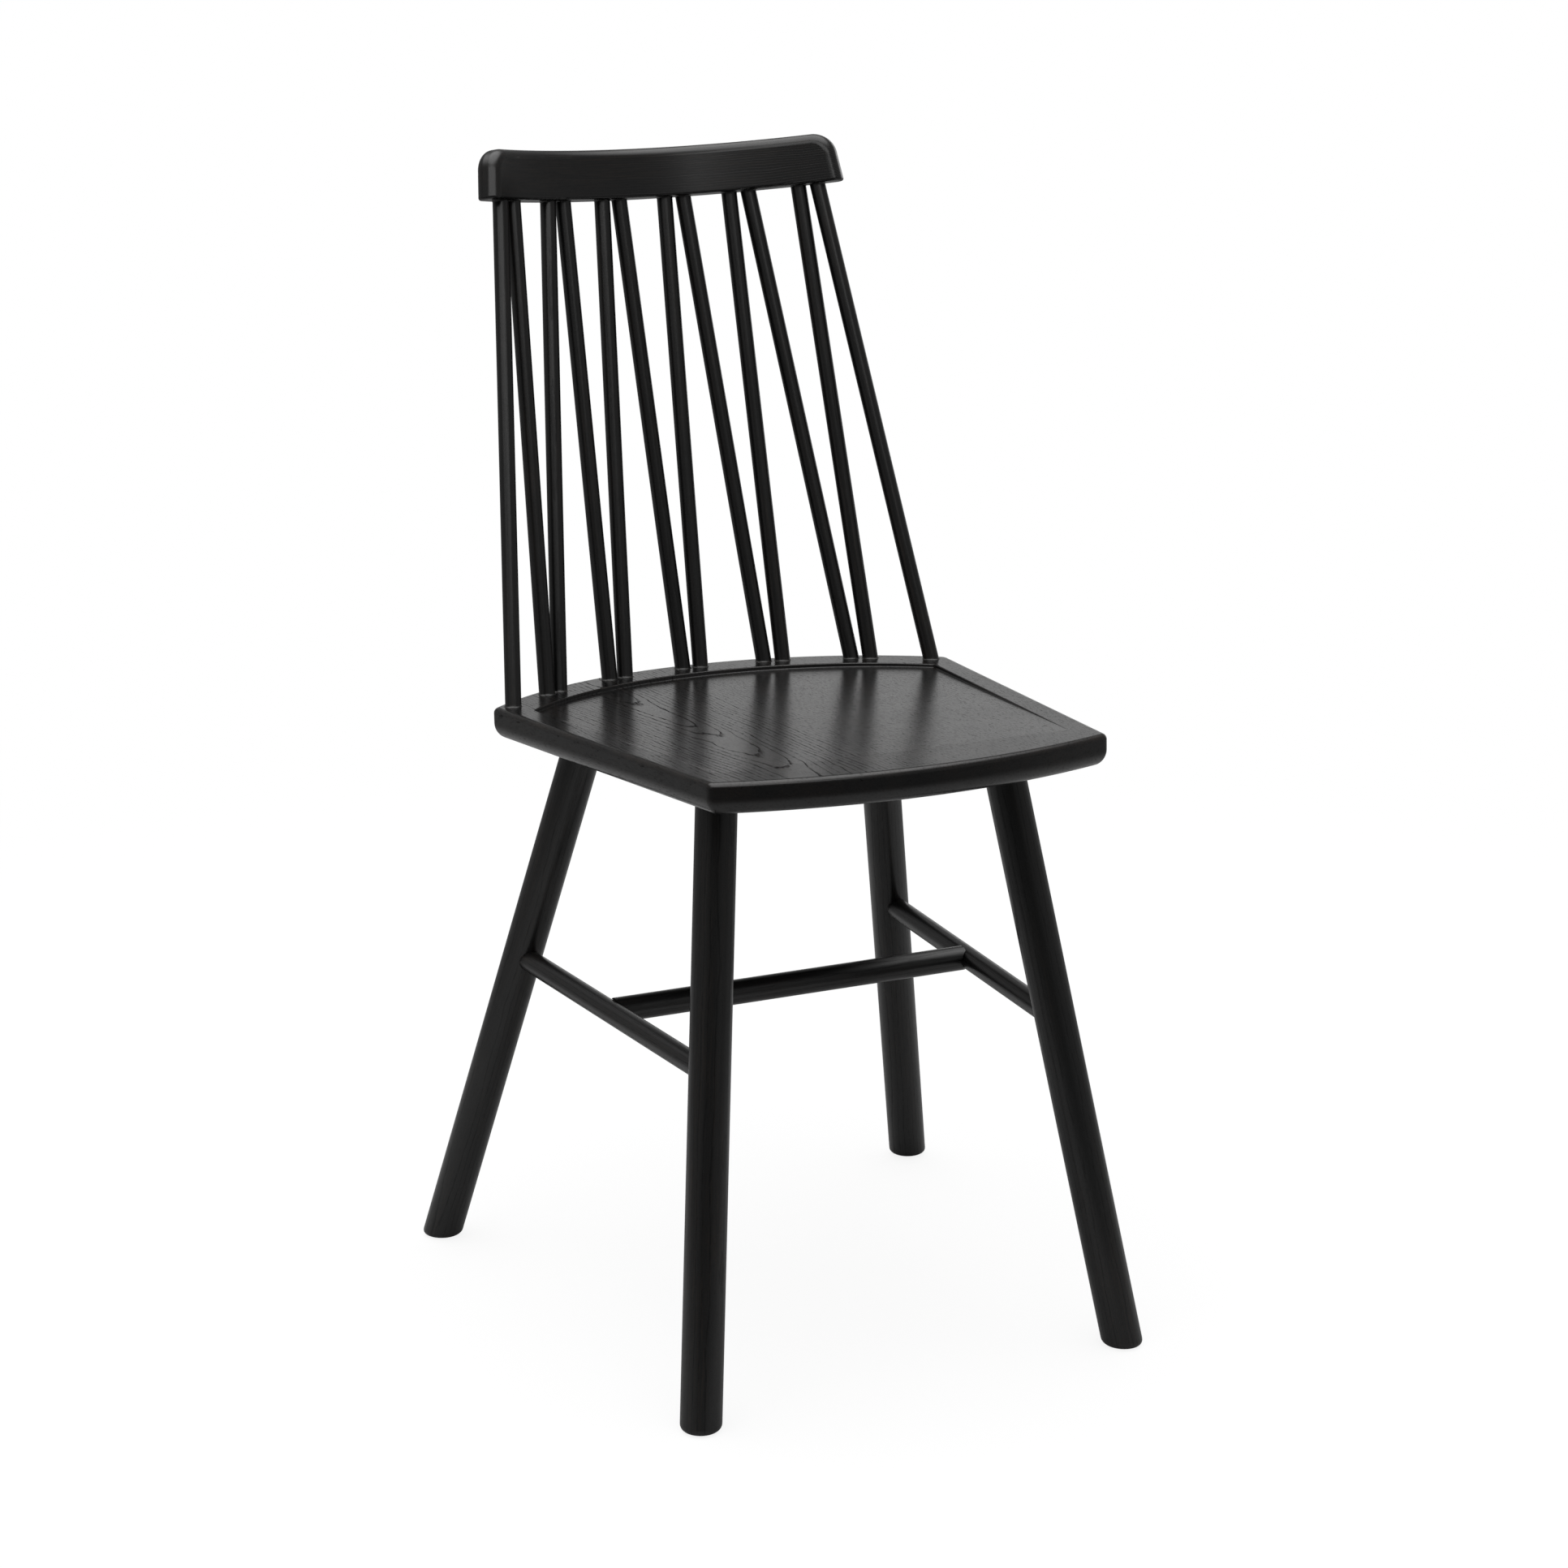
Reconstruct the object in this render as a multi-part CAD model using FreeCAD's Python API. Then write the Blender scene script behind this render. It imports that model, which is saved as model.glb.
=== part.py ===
import FreeCAD, Part
import math
import os

from FreeCAD import Placement, Rotation, Vector

# Zigzag stick-back dining chair, in millimetres and degrees.
# +Z is up, the chair faces -Y, and +X is on the right as seen from the front.
# The parts are set out about a point on the floor below the middle of the seat, and then
# moved together so that the origin lies on the floor below the middle of the whole chair.

# Seat board, laid out in its own sloping plane about the middle of its top
SEAT_HEIGHT = 450.0
SEAT_SLOPE = 2.7
SEAT_THICKNESS = 23.4
SEAT_FRONT_REACH = 203.0
SEAT_FRONT_RADIUS = 430.0
SEAT_REAR_REACH = 208.0
SEAT_REAR_RADIUS = 271.0
SEAT_SIDE_ANGLE = 6.55
SEAT_FRONT_CORNER = 7.0
SEAT_REAR_CORNER = 8.0
SEAT_TOP_ROUND = 4.0
SEAT_BOTTOM_ROUND = 12.0

# Sunk sitting surface, deepest at the back and running out level with the top near the front
RECESS_DEPTH = 3.4
RECESS_FRONT_REACH = 150.0
RECESS_CORNER = 5.0
RIM_SIDE_WIDTH = 20.5
RIM_FRONT_MARGIN = 15.2
RIM_REAR_MARGIN = 6.4
RIM_END_MARGIN = 9.0

# Back spindles, six pairs at the crest and five pairs between two single ones at the seat
SPINDLE_DIAMETER = 12.0
SPINDLE_PAIR_GAP = 2.8
SEAT_PAIR_ANGLES = (0.0, 14.65, 29.75)
SEAT_END_ANGLE = 41.95
CREST_PAIR_ANGLES = (6.5, 19.1, 32.35)
SPINDLE_SEAT_SKIN = 8.0
SPINDLE_CREST_SKIN = 20.0

# Crest rail, bent to an arc through the tops of the spindles and leaning back
CREST_RADIUS = 232.0
CREST_LEAN = 13.0
CREST_THICKNESS = 19.0
CREST_DEPTH = 37.6
CREST_END_LENGTH = 20.5
CREST_END_FLARE = 9.0
CREST_CORNER = 18.0
CREST_EDGE_ROUND = 7.5
CREST_BOTTOM_ROUND = 2.0
BACK_RISE = 348.9
BACK_SETBACK = 87.8

# Legs, each from a socket under the seat to a foot on the floor
LEG_DIAMETER = 29.6
LEG_TENON_DIAMETER = 22.0
LEG_SOCKET_SKIN = 5.0
LEG_FOOT_ROUND = 3.2
FRONT_LEG_SETBACK = 109.0
FRONT_LEG_INSET = 51.2
FRONT_LEG_SPLAY_OUT = 57.5
FRONT_LEG_SPLAY_ALONG = 94.5
REAR_LEG_SETBACK = 88.7
REAR_LEG_INSET = 67.7
REAR_LEG_SPLAY_OUT = 86.0
REAR_LEG_SPLAY_ALONG = 104.7

# Stretchers
STRETCHER_HEIGHT = 239.0
SIDE_STRETCHER_DIAMETER = 16.4
SIDE_STRETCHER_DEPTH = 13.0
CROSS_STRETCHER_DIAMETER = 18.5
CROSS_STRETCHER_SETBACK = 153.7
CROSS_SHOULDER_WRAP = 4.0
CROSS_TENON_DIAMETER = 10.0
CROSS_TENON_LENGTH = 9.0

# Glides nailed under the feet
GLIDE_DIAMETER = 18.0
GLIDE_THICKNESS = 1.0
GLIDE_EDGE_ROUND = 0.4
GLIDE_PIN_DIAMETER = 3.0
GLIDE_PIN_LENGTH = 12.0

# Room left for glue round a tenon and beyond its end
GLUE_GAP = 0.1
GLUE_POCKET = 1.0

# A length beyond every part, for tools that cut right through
FAR = 2000.0

UP = Vector(0, 0, 1)
ACROSS = Vector(1, 0, 0)

SEAT_PLACE = Placement(Vector(0, 0, SEAT_HEIGHT), Rotation(ACROSS, -SEAT_SLOPE))
SEAT_ARC_CENTRE = SEAT_REAR_REACH - SEAT_REAR_RADIUS
SPINDLE_ROW_RADIUS = SEAT_REAR_RADIUS - RIM_REAR_MARGIN - SPINDLE_DIAMETER / 2
RIM_RADIUS = SPINDLE_ROW_RADIUS - SPINDLE_DIAMETER / 2 - RIM_FRONT_MARGIN

CREST_FOOT = SEAT_PLACE.multVec(Vector(0, SEAT_ARC_CENTRE + SPINDLE_ROW_RADIUS, 0))
CREST_PLACE = Placement(
    CREST_FOOT + Vector(0, BACK_SETBACK, BACK_RISE),
    Rotation(ACROSS, -CREST_LEAN),
)

PAIR_SPREAD = (SPINDLE_DIAMETER + SPINDLE_PAIR_GAP) / 2
SEAT_PAIR_SPREAD = math.degrees(PAIR_SPREAD / SPINDLE_ROW_RADIUS)
CREST_PAIR_SPREAD = math.degrees(PAIR_SPREAD / CREST_RADIUS)


def rod(start, end, diameter):
    """A round bar from one point to another."""
    axis = end - start
    return Part.makeCylinder(diameter / 2, axis.Length, start, axis)


def along(start, end, distance):
    """The point at a distance from start on the line to end, or on that line carried on."""
    axis = end - start
    return start + axis * (distance / axis.Length)


def at_height(start, end, height):
    """The point of a line at a height above the floor."""
    return start + (end - start) * ((height - start.z) / (end.z - start.z))


def mirrored(shape):
    """The same shape on the other side of the chair."""
    return shape.mirror(Vector(0, 0, 0), ACROSS)


def flipped(point):
    """The same point on the other side of the chair."""
    return Vector(-point.x, point.y, point.z)


def arc_point(centre, radius, angle):
    """A point of a plan arc about a centre on the middle line, the angle counted from straight back."""
    turn = math.radians(angle)
    return Vector(radius * math.sin(turn), centre + radius * math.cos(turn), 0)


def line_meets_arc(point, heading, centre, radius):
    """Where a plan line going one way from a point first leaves an arc about a centre on the middle line."""
    offset = point - Vector(0, centre, 0)
    drift = offset.dot(heading)
    reach = math.sqrt(drift * drift - offset.dot(offset) + radius * radius)
    return point + heading * (reach - drift)


def plan_face(edges):
    """A flat face inside closed edges."""
    return Part.Face(Part.Wire([edge.toShape() for edge in edges]))


def upright_edges(solid, chosen):
    """The straight upright edges of a prism whose foot passes a test."""
    found = []
    for edge in solid.Edges:
        direction = edge.lastVertex().Point - edge.firstVertex().Point
        if direction.getAngle(UP) in (0.0, math.pi) and chosen(edge.firstVertex().Point):
            found.append(edge)
    return found


def level_edges(solid, height):
    """The edges of a solid that lie in a level plane."""
    box_edges = [(edge, edge.BoundBox) for edge in solid.Edges]
    return [edge for edge, box in box_edges if abs(box.ZMin - height) < 0.01 and abs(box.ZMax - height) < 0.01]


# Places on the seat that several parts share


def paired_angles(pair_angles, spread):
    """The angles of the sticks of a row of pairs, given the pairs of its right half."""
    right = [middle + turn for middle in pair_angles for turn in (-spread, spread)]
    return sorted(set(right + [-angle for angle in right]))


def spindle_angles():
    """For each spindle from left to right, its angle on the seat's row and on the crest's arc."""
    seat_angles = paired_angles(SEAT_PAIR_ANGLES, SEAT_PAIR_SPREAD)
    crest_angles = paired_angles(CREST_PAIR_ANGLES, CREST_PAIR_SPREAD)
    return list(zip([-SEAT_END_ANGLE] + seat_angles + [SEAT_END_ANGLE], crest_angles))


SPINDLE_ANGLES = spindle_angles()
SIDE_HEADING = Vector(math.sin(math.radians(SEAT_SIDE_ANGLE)), math.cos(math.radians(SEAT_SIDE_ANGLE)), 0)
SIDE_NORMAL = Vector(SIDE_HEADING.y, -SIDE_HEADING.x, 0)
SIDE_POINT = (
    arc_point(SEAT_ARC_CENTRE, SPINDLE_ROW_RADIUS, SPINDLE_ANGLES[-1][0])
    + SIDE_NORMAL * (SPINDLE_DIAMETER / 2 + RIM_END_MARGIN)
)


def side_edge(setback):
    """The point of the seat's right edge at a distance behind the middle of the seat."""
    return SIDE_POINT + SIDE_HEADING * ((setback - SIDE_POINT.y) / SIDE_HEADING.y)


def seat_point(plan_point, drop=0.0):
    """A point of the seat's plan, at a depth below its top, in the chair's frame."""
    return SEAT_PLACE.multVec(Vector(plan_point.x, plan_point.y, -drop))


def leg_line(setback, inset, splay_out, splay_along):
    """The axis of a right leg, from its foot on the floor to the underside of the seat."""
    socket = seat_point(Vector(side_edge(setback).x - inset, setback, 0), SEAT_THICKNESS)
    foot = Vector(socket.x + splay_out, socket.y + splay_along, 0)
    return foot, socket


FRONT_LEG_LINE = leg_line(
    FRONT_LEG_SETBACK - SEAT_FRONT_REACH, FRONT_LEG_INSET, FRONT_LEG_SPLAY_OUT, -FRONT_LEG_SPLAY_ALONG
)
REAR_LEG_LINE = leg_line(
    SEAT_REAR_REACH - REAR_LEG_SETBACK, REAR_LEG_INSET, REAR_LEG_SPLAY_OUT, REAR_LEG_SPLAY_ALONG
)
LEG_LINES = {
    "front_right": FRONT_LEG_LINE,
    "front_left": tuple(flipped(point) for point in FRONT_LEG_LINE),
    "rear_right": REAR_LEG_LINE,
    "rear_left": tuple(flipped(point) for point in REAR_LEG_LINE),
}
LEG_TENON_LENGTH = SEAT_THICKNESS - RECESS_DEPTH - LEG_SOCKET_SKIN - GLUE_POCKET


def spindle_line(angles):
    """Where a spindle's axis enters the seat's top and the crest's underside."""
    seat_angle, crest_angle = angles
    foot = seat_point(arc_point(SEAT_ARC_CENTRE, SPINDLE_ROW_RADIUS, seat_angle))
    head = CREST_PLACE.multVec(arc_point(-CREST_RADIUS, CREST_RADIUS, crest_angle))
    return foot, head


SPINDLE_LINES = [spindle_line(angles) for angles in SPINDLE_ANGLES]
SPINDLE_SEAT_DEPTH = SEAT_THICKNESS - SPINDLE_SEAT_SKIN - GLUE_POCKET
SPINDLE_CREST_DEPTH = CREST_DEPTH - SPINDLE_CREST_SKIN - GLUE_POCKET


def side_stretcher_line():
    """Where the right side stretcher's axis crosses the axes of its front and its rear leg."""
    return at_height(*FRONT_LEG_LINE, STRETCHER_HEIGHT), at_height(*REAR_LEG_LINE, STRETCHER_HEIGHT)


SIDE_STRETCHER_LINE = side_stretcher_line()


def stretcher_entry(joint, far_joint, leg_line_points):
    """The distance from a leg's axis to its surface, measured along the stretcher."""
    tilt = (far_joint - joint).getAngle(leg_line_points[1] - leg_line_points[0])
    return LEG_DIAMETER / 2 / math.sin(tilt)


def side_stretcher_ends():
    """The ends of the right side stretcher, inside its two legs."""
    front, rear = SIDE_STRETCHER_LINE
    front_end = along(front, rear, stretcher_entry(front, rear, FRONT_LEG_LINE) - SIDE_STRETCHER_DEPTH)
    rear_end = along(rear, front, stretcher_entry(rear, front, REAR_LEG_LINE) - SIDE_STRETCHER_DEPTH)
    return front_end, rear_end


CROSS_JOINT = along(*SIDE_STRETCHER_LINE, CROSS_STRETCHER_SETBACK)
CROSS_TENON_END = CROSS_JOINT - ACROSS * (SIDE_STRETCHER_DIAMETER / 2 - CROSS_TENON_LENGTH)


# Parts


def make_seat():
    """The seat board with its sunk surface, spindle sockets and leg sockets."""
    rear_corner = line_meets_arc(SIDE_POINT, SIDE_HEADING, SEAT_ARC_CENTRE, SEAT_REAR_RADIUS)
    front_centre = SEAT_FRONT_RADIUS - SEAT_FRONT_REACH
    front_corner = line_meets_arc(SIDE_POINT, -SIDE_HEADING, front_centre, SEAT_FRONT_RADIUS)
    outline = plan_face([
        Part.Arc(flipped(front_corner), Vector(0, -SEAT_FRONT_REACH, 0), front_corner),
        Part.LineSegment(front_corner, rear_corner),
        Part.Arc(rear_corner, Vector(0, SEAT_REAR_REACH, 0), flipped(rear_corner)),
        Part.LineSegment(flipped(rear_corner), flipped(front_corner)),
    ])
    board = outline.extrude(UP * -SEAT_THICKNESS)
    board = board.makeFillet(SEAT_FRONT_CORNER, upright_edges(board, lambda foot: foot.y < 0))
    board = board.makeFillet(SEAT_REAR_CORNER, upright_edges(board, lambda foot: foot.y > 0))
    board = board.makeFillet(SEAT_TOP_ROUND, level_edges(board, 0))
    board = board.makeFillet(SEAT_BOTTOM_ROUND, level_edges(board, -SEAT_THICKNESS))
    board = board.cut(make_recess_tool())
    board.Placement = SEAT_PLACE
    sockets = []
    for foot, head in SPINDLE_LINES:
        floor = along(foot, head, -SPINDLE_SEAT_DEPTH - GLUE_POCKET)
        sockets.append(rod(floor, head, SPINDLE_DIAMETER + 2 * GLUE_GAP))
    for foot, socket in LEG_LINES.values():
        roof = along(socket, foot, -LEG_TENON_LENGTH - GLUE_POCKET)
        sockets.append(rod(foot, roof, LEG_TENON_DIAMETER + 2 * GLUE_GAP))
    return board.cut(sockets)


def make_recess_tool():
    """What is taken out of the seat's top for the sunk surface, in the seat's own plane."""
    inner_side = SIDE_POINT - SIDE_NORMAL * RIM_SIDE_WIDTH
    rear_corner = line_meets_arc(inner_side, SIDE_HEADING, SEAT_ARC_CENTRE, RIM_RADIUS)
    front_corner = rear_corner - SIDE_HEADING * ((rear_corner.y + RECESS_FRONT_REACH) / SIDE_HEADING.y)
    rear_middle = Vector(0, SEAT_ARC_CENTRE + RIM_RADIUS, 0)
    outline = plan_face([
        Part.LineSegment(flipped(front_corner), front_corner),
        Part.LineSegment(front_corner, rear_corner),
        Part.Arc(rear_corner, rear_middle, flipped(rear_corner)),
        Part.LineSegment(flipped(rear_corner), flipped(front_corner)),
    ])
    tool = outline.extrude(UP * SEAT_THICKNESS)
    tool = tool.makeFillet(RECESS_CORNER, upright_edges(tool, lambda foot: foot.y > 0))
    fall = math.degrees(math.atan2(RECESS_DEPTH, rear_middle.y + RECESS_FRONT_REACH))
    tool.rotate(Vector(0, -RECESS_FRONT_REACH, 0), ACROSS, -fall)
    return tool


def make_crest_rail():
    """The bent crest rail with its rounded ends and spindle sockets."""
    inner = CREST_RADIUS - CREST_THICKNESS / 2
    outer = CREST_RADIUS + CREST_THICKNESS / 2
    end_angle = SPINDLE_ANGLES[-1][1] + math.degrees(CREST_END_LENGTH / CREST_RADIUS)
    blank_angle = end_angle + math.degrees(CREST_THICKNESS / CREST_RADIUS)
    centre = -CREST_RADIUS
    sector = plan_face([
        Part.Arc(*[arc_point(centre, inner, turn * blank_angle) for turn in (-1, 0, 1)]),
        Part.LineSegment(arc_point(centre, inner, blank_angle), arc_point(centre, outer, blank_angle)),
        Part.Arc(*[arc_point(centre, outer, turn * blank_angle) for turn in (1, 0, -1)]),
        Part.LineSegment(arc_point(centre, outer, -blank_angle), arc_point(centre, inner, -blank_angle)),
    ])
    rail = sector.extrude(UP * CREST_DEPTH)
    end_tool = make_crest_end_tool(end_angle)
    rail = rail.cut([end_tool, mirrored(end_tool)])
    hub = Vector(0, centre, 0)
    rims = []
    for edge in rail.Edges:
        middle = edge.valueAt((edge.FirstParameter + edge.LastParameter) / 2)
        on_face = abs((Vector(middle.x, middle.y, 0) - hub).Length - CREST_RADIUS) > 0.49 * CREST_THICKNESS
        if on_face and edge.BoundBox.ZMax > 0.01:
            rims.append(edge)
    rail = rail.makeFillet(CREST_EDGE_ROUND, rims)
    rail = rail.makeFillet(CREST_BOTTOM_ROUND, level_edges(rail, 0))
    rail.Placement = CREST_PLACE
    sockets = []
    for foot, head in SPINDLE_LINES:
        roof = along(head, foot, -SPINDLE_CREST_DEPTH - GLUE_POCKET)
        sockets.append(rod(foot, roof, SPINDLE_DIAMETER + 2 * GLUE_GAP))
    return rail.cut(sockets)


def make_crest_end_tool(end_angle):
    """What is cut off beyond the crest's right end: a slanted end with a rounded upper corner."""
    flare = math.radians(CREST_END_FLARE)
    lean_in = math.tan(flare)
    corner = Vector(-CREST_DEPTH * lean_in, 0, CREST_DEPTH)
    run = CREST_CORNER / math.tan(math.pi / 4 + flare / 2)
    on_end = corner + Vector(math.sin(flare), 0, -math.cos(flare)) * run
    on_top = corner - Vector(run, 0, 0)
    centre = on_top - UP * CREST_CORNER
    crown = along(centre, corner, CREST_CORNER)
    below = Vector(CREST_DEPTH * lean_in, 0, -CREST_DEPTH)
    outside = [
        Vector(on_top.x, 0, 2 * CREST_DEPTH),
        Vector(2 * CREST_DEPTH, 0, 2 * CREST_DEPTH),
        Vector(2 * CREST_DEPTH, 0, -CREST_DEPTH),
        below,
    ]
    edges = [Part.LineSegment(below, on_end), Part.Arc(on_end, crown, on_top), Part.LineSegment(on_top, outside[0])]
    for first, second in zip(outside, outside[1:]):
        edges.append(Part.LineSegment(first, second))
    profile = plan_face(edges)
    profile.translate(Vector(0, -2 * CREST_THICKNESS, 0))
    tool = profile.extrude(Vector(0, 4 * CREST_THICKNESS, 0))
    place = arc_point(-CREST_RADIUS, CREST_RADIUS, end_angle)
    tool.Placement = Placement(place, Rotation(UP, -end_angle))
    return tool


def make_spindle(foot, head):
    """A straight round stick, glued into the seat and the crest."""
    return rod(along(foot, head, -SPINDLE_SEAT_DEPTH), along(head, foot, -SPINDLE_CREST_DEPTH), SPINDLE_DIAMETER)


def make_leg(foot, socket, stretcher):
    """A round leg cut off level at the floor and at the seat, with a tenon above and sockets for its neighbours."""
    leg = rod(along(foot, socket, -LEG_DIAMETER), along(socket, foot, -LEG_DIAMETER), LEG_DIAMETER)
    floor = Part.makeBox(FAR, FAR, FAR, Vector(-FAR / 2, -FAR / 2, GLIDE_THICKNESS - FAR))
    seat = Part.makeBox(FAR, FAR, FAR, Vector(-FAR / 2, -FAR / 2, -SEAT_THICKNESS))
    seat.Placement = SEAT_PLACE
    leg = leg.cut([floor, seat])
    leg = leg.makeFillet(LEG_FOOT_ROUND, level_edges(leg, GLIDE_THICKNESS))
    tenon = rod(along(socket, foot, LEG_DIAMETER), along(socket, foot, -LEG_TENON_LENGTH), LEG_TENON_DIAMETER)
    near_end, far_end = stretcher
    stretcher_socket = rod(
        along(near_end, far_end, -GLUE_POCKET), far_end, SIDE_STRETCHER_DIAMETER + 2 * GLUE_GAP
    )
    pin_foot = at_height(foot, socket, GLIDE_THICKNESS)
    pin_roof = pin_foot + UP * (GLIDE_PIN_LENGTH + GLUE_POCKET)
    pin_hole = rod(pin_foot, pin_roof, GLIDE_PIN_DIAMETER + 2 * GLUE_GAP)
    return leg.fuse(tenon).removeSplitter().cut([stretcher_socket, pin_hole])


def make_side_stretcher():
    """The right side stretcher, with a socket for the cross stretcher."""
    front_end, rear_end = side_stretcher_ends()
    socket = rod(
        CROSS_TENON_END + ACROSS * GLUE_POCKET,
        flipped(CROSS_TENON_END),
        CROSS_TENON_DIAMETER + 2 * GLUE_GAP,
    )
    return rod(front_end, rear_end, SIDE_STRETCHER_DIAMETER).cut(socket)


def make_cross_stretcher():
    """The cross stretcher, its shoulders hollowed to sit against the side stretchers."""
    shoulder = CROSS_JOINT - ACROSS * (SIDE_STRETCHER_DIAMETER / 2 - CROSS_SHOULDER_WRAP)
    body = rod(flipped(shoulder), shoulder, CROSS_STRETCHER_DIAMETER)
    hollow = rod(*SIDE_STRETCHER_LINE, SIDE_STRETCHER_DIAMETER + 2 * GLUE_GAP)
    body = body.cut([hollow, mirrored(hollow)])
    tenons = rod(flipped(CROSS_TENON_END), CROSS_TENON_END, CROSS_TENON_DIAMETER)
    return body.fuse(tenons).removeSplitter()


def make_glide(foot, socket):
    """A round glide with the pin that holds it in the foot."""
    top = at_height(foot, socket, GLIDE_THICKNESS)
    disc = Part.makeCylinder(GLIDE_DIAMETER / 2, GLIDE_THICKNESS, Vector(top.x, top.y, 0))
    disc = disc.makeFillet(GLIDE_EDGE_ROUND, level_edges(disc, 0))
    pin = rod(Vector(top.x, top.y, 0) + UP * GLIDE_EDGE_ROUND, top + UP * GLIDE_PIN_LENGTH, GLIDE_PIN_DIAMETER)
    return disc.fuse(pin).removeSplitter()


def make_parts():
    """Every part of the chair by name, in place."""
    front_end, rear_end = side_stretcher_ends()
    parts = {"seat": make_seat(), "crest_rail": make_crest_rail()}
    for number, (foot, head) in enumerate(SPINDLE_LINES, start=1):
        parts["back_spindle_%02d" % number] = make_spindle(foot, head)
    right_front_leg = make_leg(*FRONT_LEG_LINE, (front_end, rear_end))
    right_rear_leg = make_leg(*REAR_LEG_LINE, (rear_end, front_end))
    right_stretcher = make_side_stretcher()
    parts["front_right_leg"] = right_front_leg
    parts["front_left_leg"] = mirrored(right_front_leg)
    parts["rear_right_leg"] = right_rear_leg
    parts["rear_left_leg"] = mirrored(right_rear_leg)
    parts["right_side_stretcher"] = right_stretcher
    parts["left_side_stretcher"] = mirrored(right_stretcher)
    parts["cross_stretcher"] = make_cross_stretcher()
    for corner, (foot, socket) in LEG_LINES.items():
        parts[corner + "_glide"] = make_glide(foot, socket)
    return parts


def main():
    """Builds the chair, centres it over the origin and writes one file for each part."""
    parts = make_parts()
    box = Part.makeCompound(list(parts.values())).optimalBoundingBox()
    shift = Vector(0, -(box.YMin + box.YMax) / 2, 0)
    os.makedirs("parts", exist_ok=True)
    for name, shape in parts.items():
        shape.translate(shift)
        shape.exportStep("parts/%s.step" % name)
        print("%-22s solids %d valid %s volume %.0f" % (name, len(shape.Solids), shape.isValid(), shape.Volume))
    print("size %.1f x %.1f x %.1f, moved %.2f along Y" % (box.XLength, box.YLength, box.ZLength, shift.y))


main()
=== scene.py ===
import math
from typing import NamedTuple

import bpy
import numpy as np
from bpy.props import FloatProperty, FloatVectorProperty, IntProperty, PointerProperty
from bpy.types import Operator, Panel, PropertyGroup
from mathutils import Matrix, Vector


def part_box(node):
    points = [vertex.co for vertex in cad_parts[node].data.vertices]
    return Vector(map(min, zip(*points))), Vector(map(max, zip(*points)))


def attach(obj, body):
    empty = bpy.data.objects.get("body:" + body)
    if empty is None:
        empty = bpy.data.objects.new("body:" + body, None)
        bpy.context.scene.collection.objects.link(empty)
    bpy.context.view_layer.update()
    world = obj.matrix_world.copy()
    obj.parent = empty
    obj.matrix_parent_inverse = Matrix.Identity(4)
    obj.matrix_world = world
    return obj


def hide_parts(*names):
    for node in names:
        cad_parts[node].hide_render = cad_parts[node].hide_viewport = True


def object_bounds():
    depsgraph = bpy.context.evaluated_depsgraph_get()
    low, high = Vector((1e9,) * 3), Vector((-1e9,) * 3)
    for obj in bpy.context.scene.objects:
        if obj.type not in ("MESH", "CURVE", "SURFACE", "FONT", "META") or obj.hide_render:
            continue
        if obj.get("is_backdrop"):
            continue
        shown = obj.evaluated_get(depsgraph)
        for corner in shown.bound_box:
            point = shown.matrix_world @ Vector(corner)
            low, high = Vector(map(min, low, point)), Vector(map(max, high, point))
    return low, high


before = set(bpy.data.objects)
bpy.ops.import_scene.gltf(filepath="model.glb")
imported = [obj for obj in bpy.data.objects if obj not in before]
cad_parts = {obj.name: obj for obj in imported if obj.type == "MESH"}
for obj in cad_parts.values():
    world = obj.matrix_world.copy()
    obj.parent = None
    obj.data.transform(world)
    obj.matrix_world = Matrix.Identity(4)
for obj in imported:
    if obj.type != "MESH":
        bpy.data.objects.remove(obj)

bl_info = {
    "name": "Zigzag stick-back chair",
    "version": (1, 0, 0),
    "blender": (4, 5, 0),
    "location": "View3D > Sidebar > Chair",
    "description": "Shapes, finishes and light for a black stained stick-back chair",
    "category": "Object",
}

CAD_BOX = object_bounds()
MM = 0.001
QUARTER_TURN = math.pi / 2
ACROSS, UP = (1.0, 0.0, 0.0), (0.0, 0.0, 1.0)
CORNERS = ("front_right", "front_left", "rear_right", "rear_left")
SPINDLES = sorted(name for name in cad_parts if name.startswith("back_spindle"))

# Attributes that the finishes read from the pieces
GRAIN_PLACE = "grain_place"
EDGE_MASK = "edge_mask"

# Node trees that are made once and shared
STICK_TREE = "round stick"
WOOD_GROUP = "ring-porous wood"
LACQUER_GROUP = "satin lacquer"


def length(label, about, value):
    """A length that a user may change."""
    return FloatProperty(name=label, description=about, default=value, unit="LENGTH", precision=5)


def position(label, about, value):
    """A place in the scene that a user may change."""
    return FloatVectorProperty(
        name=label, description=about, default=value, size=3, subtype="TRANSLATION", unit="LENGTH"
    )


def angle(label, about, degrees):
    """An angle that a user may change."""
    return FloatProperty(name=label, description=about, default=math.radians(degrees), subtype="ANGLE")


def share(label, about, value):
    """A part of a whole that a user may change."""
    return FloatProperty(name=label, description=about, default=value, min=0.0, max=1.0, subtype="FACTOR")


def camera_length(label, about, value):
    """A length of the camera, in millimetres, that a user may change."""
    return FloatProperty(name=label, description=about, default=value, min=0.0, subtype="DISTANCE_CAMERA")


def power(label, about, value):
    """The power of a lamp, in watts, that a user may change."""
    return FloatProperty(name=label, description=about, default=value, min=0.0, unit="POWER")


def amount(label, about, value):
    """A plain number that a user may change."""
    return FloatProperty(name=label, description=about, default=value, min=0.0)


def colour(label, about, value):
    """A colour that a user may change."""
    return FloatVectorProperty(
        name=label, description=about, default=value, size=3, min=0.0, max=1.0, subtype="COLOR"
    )


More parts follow.
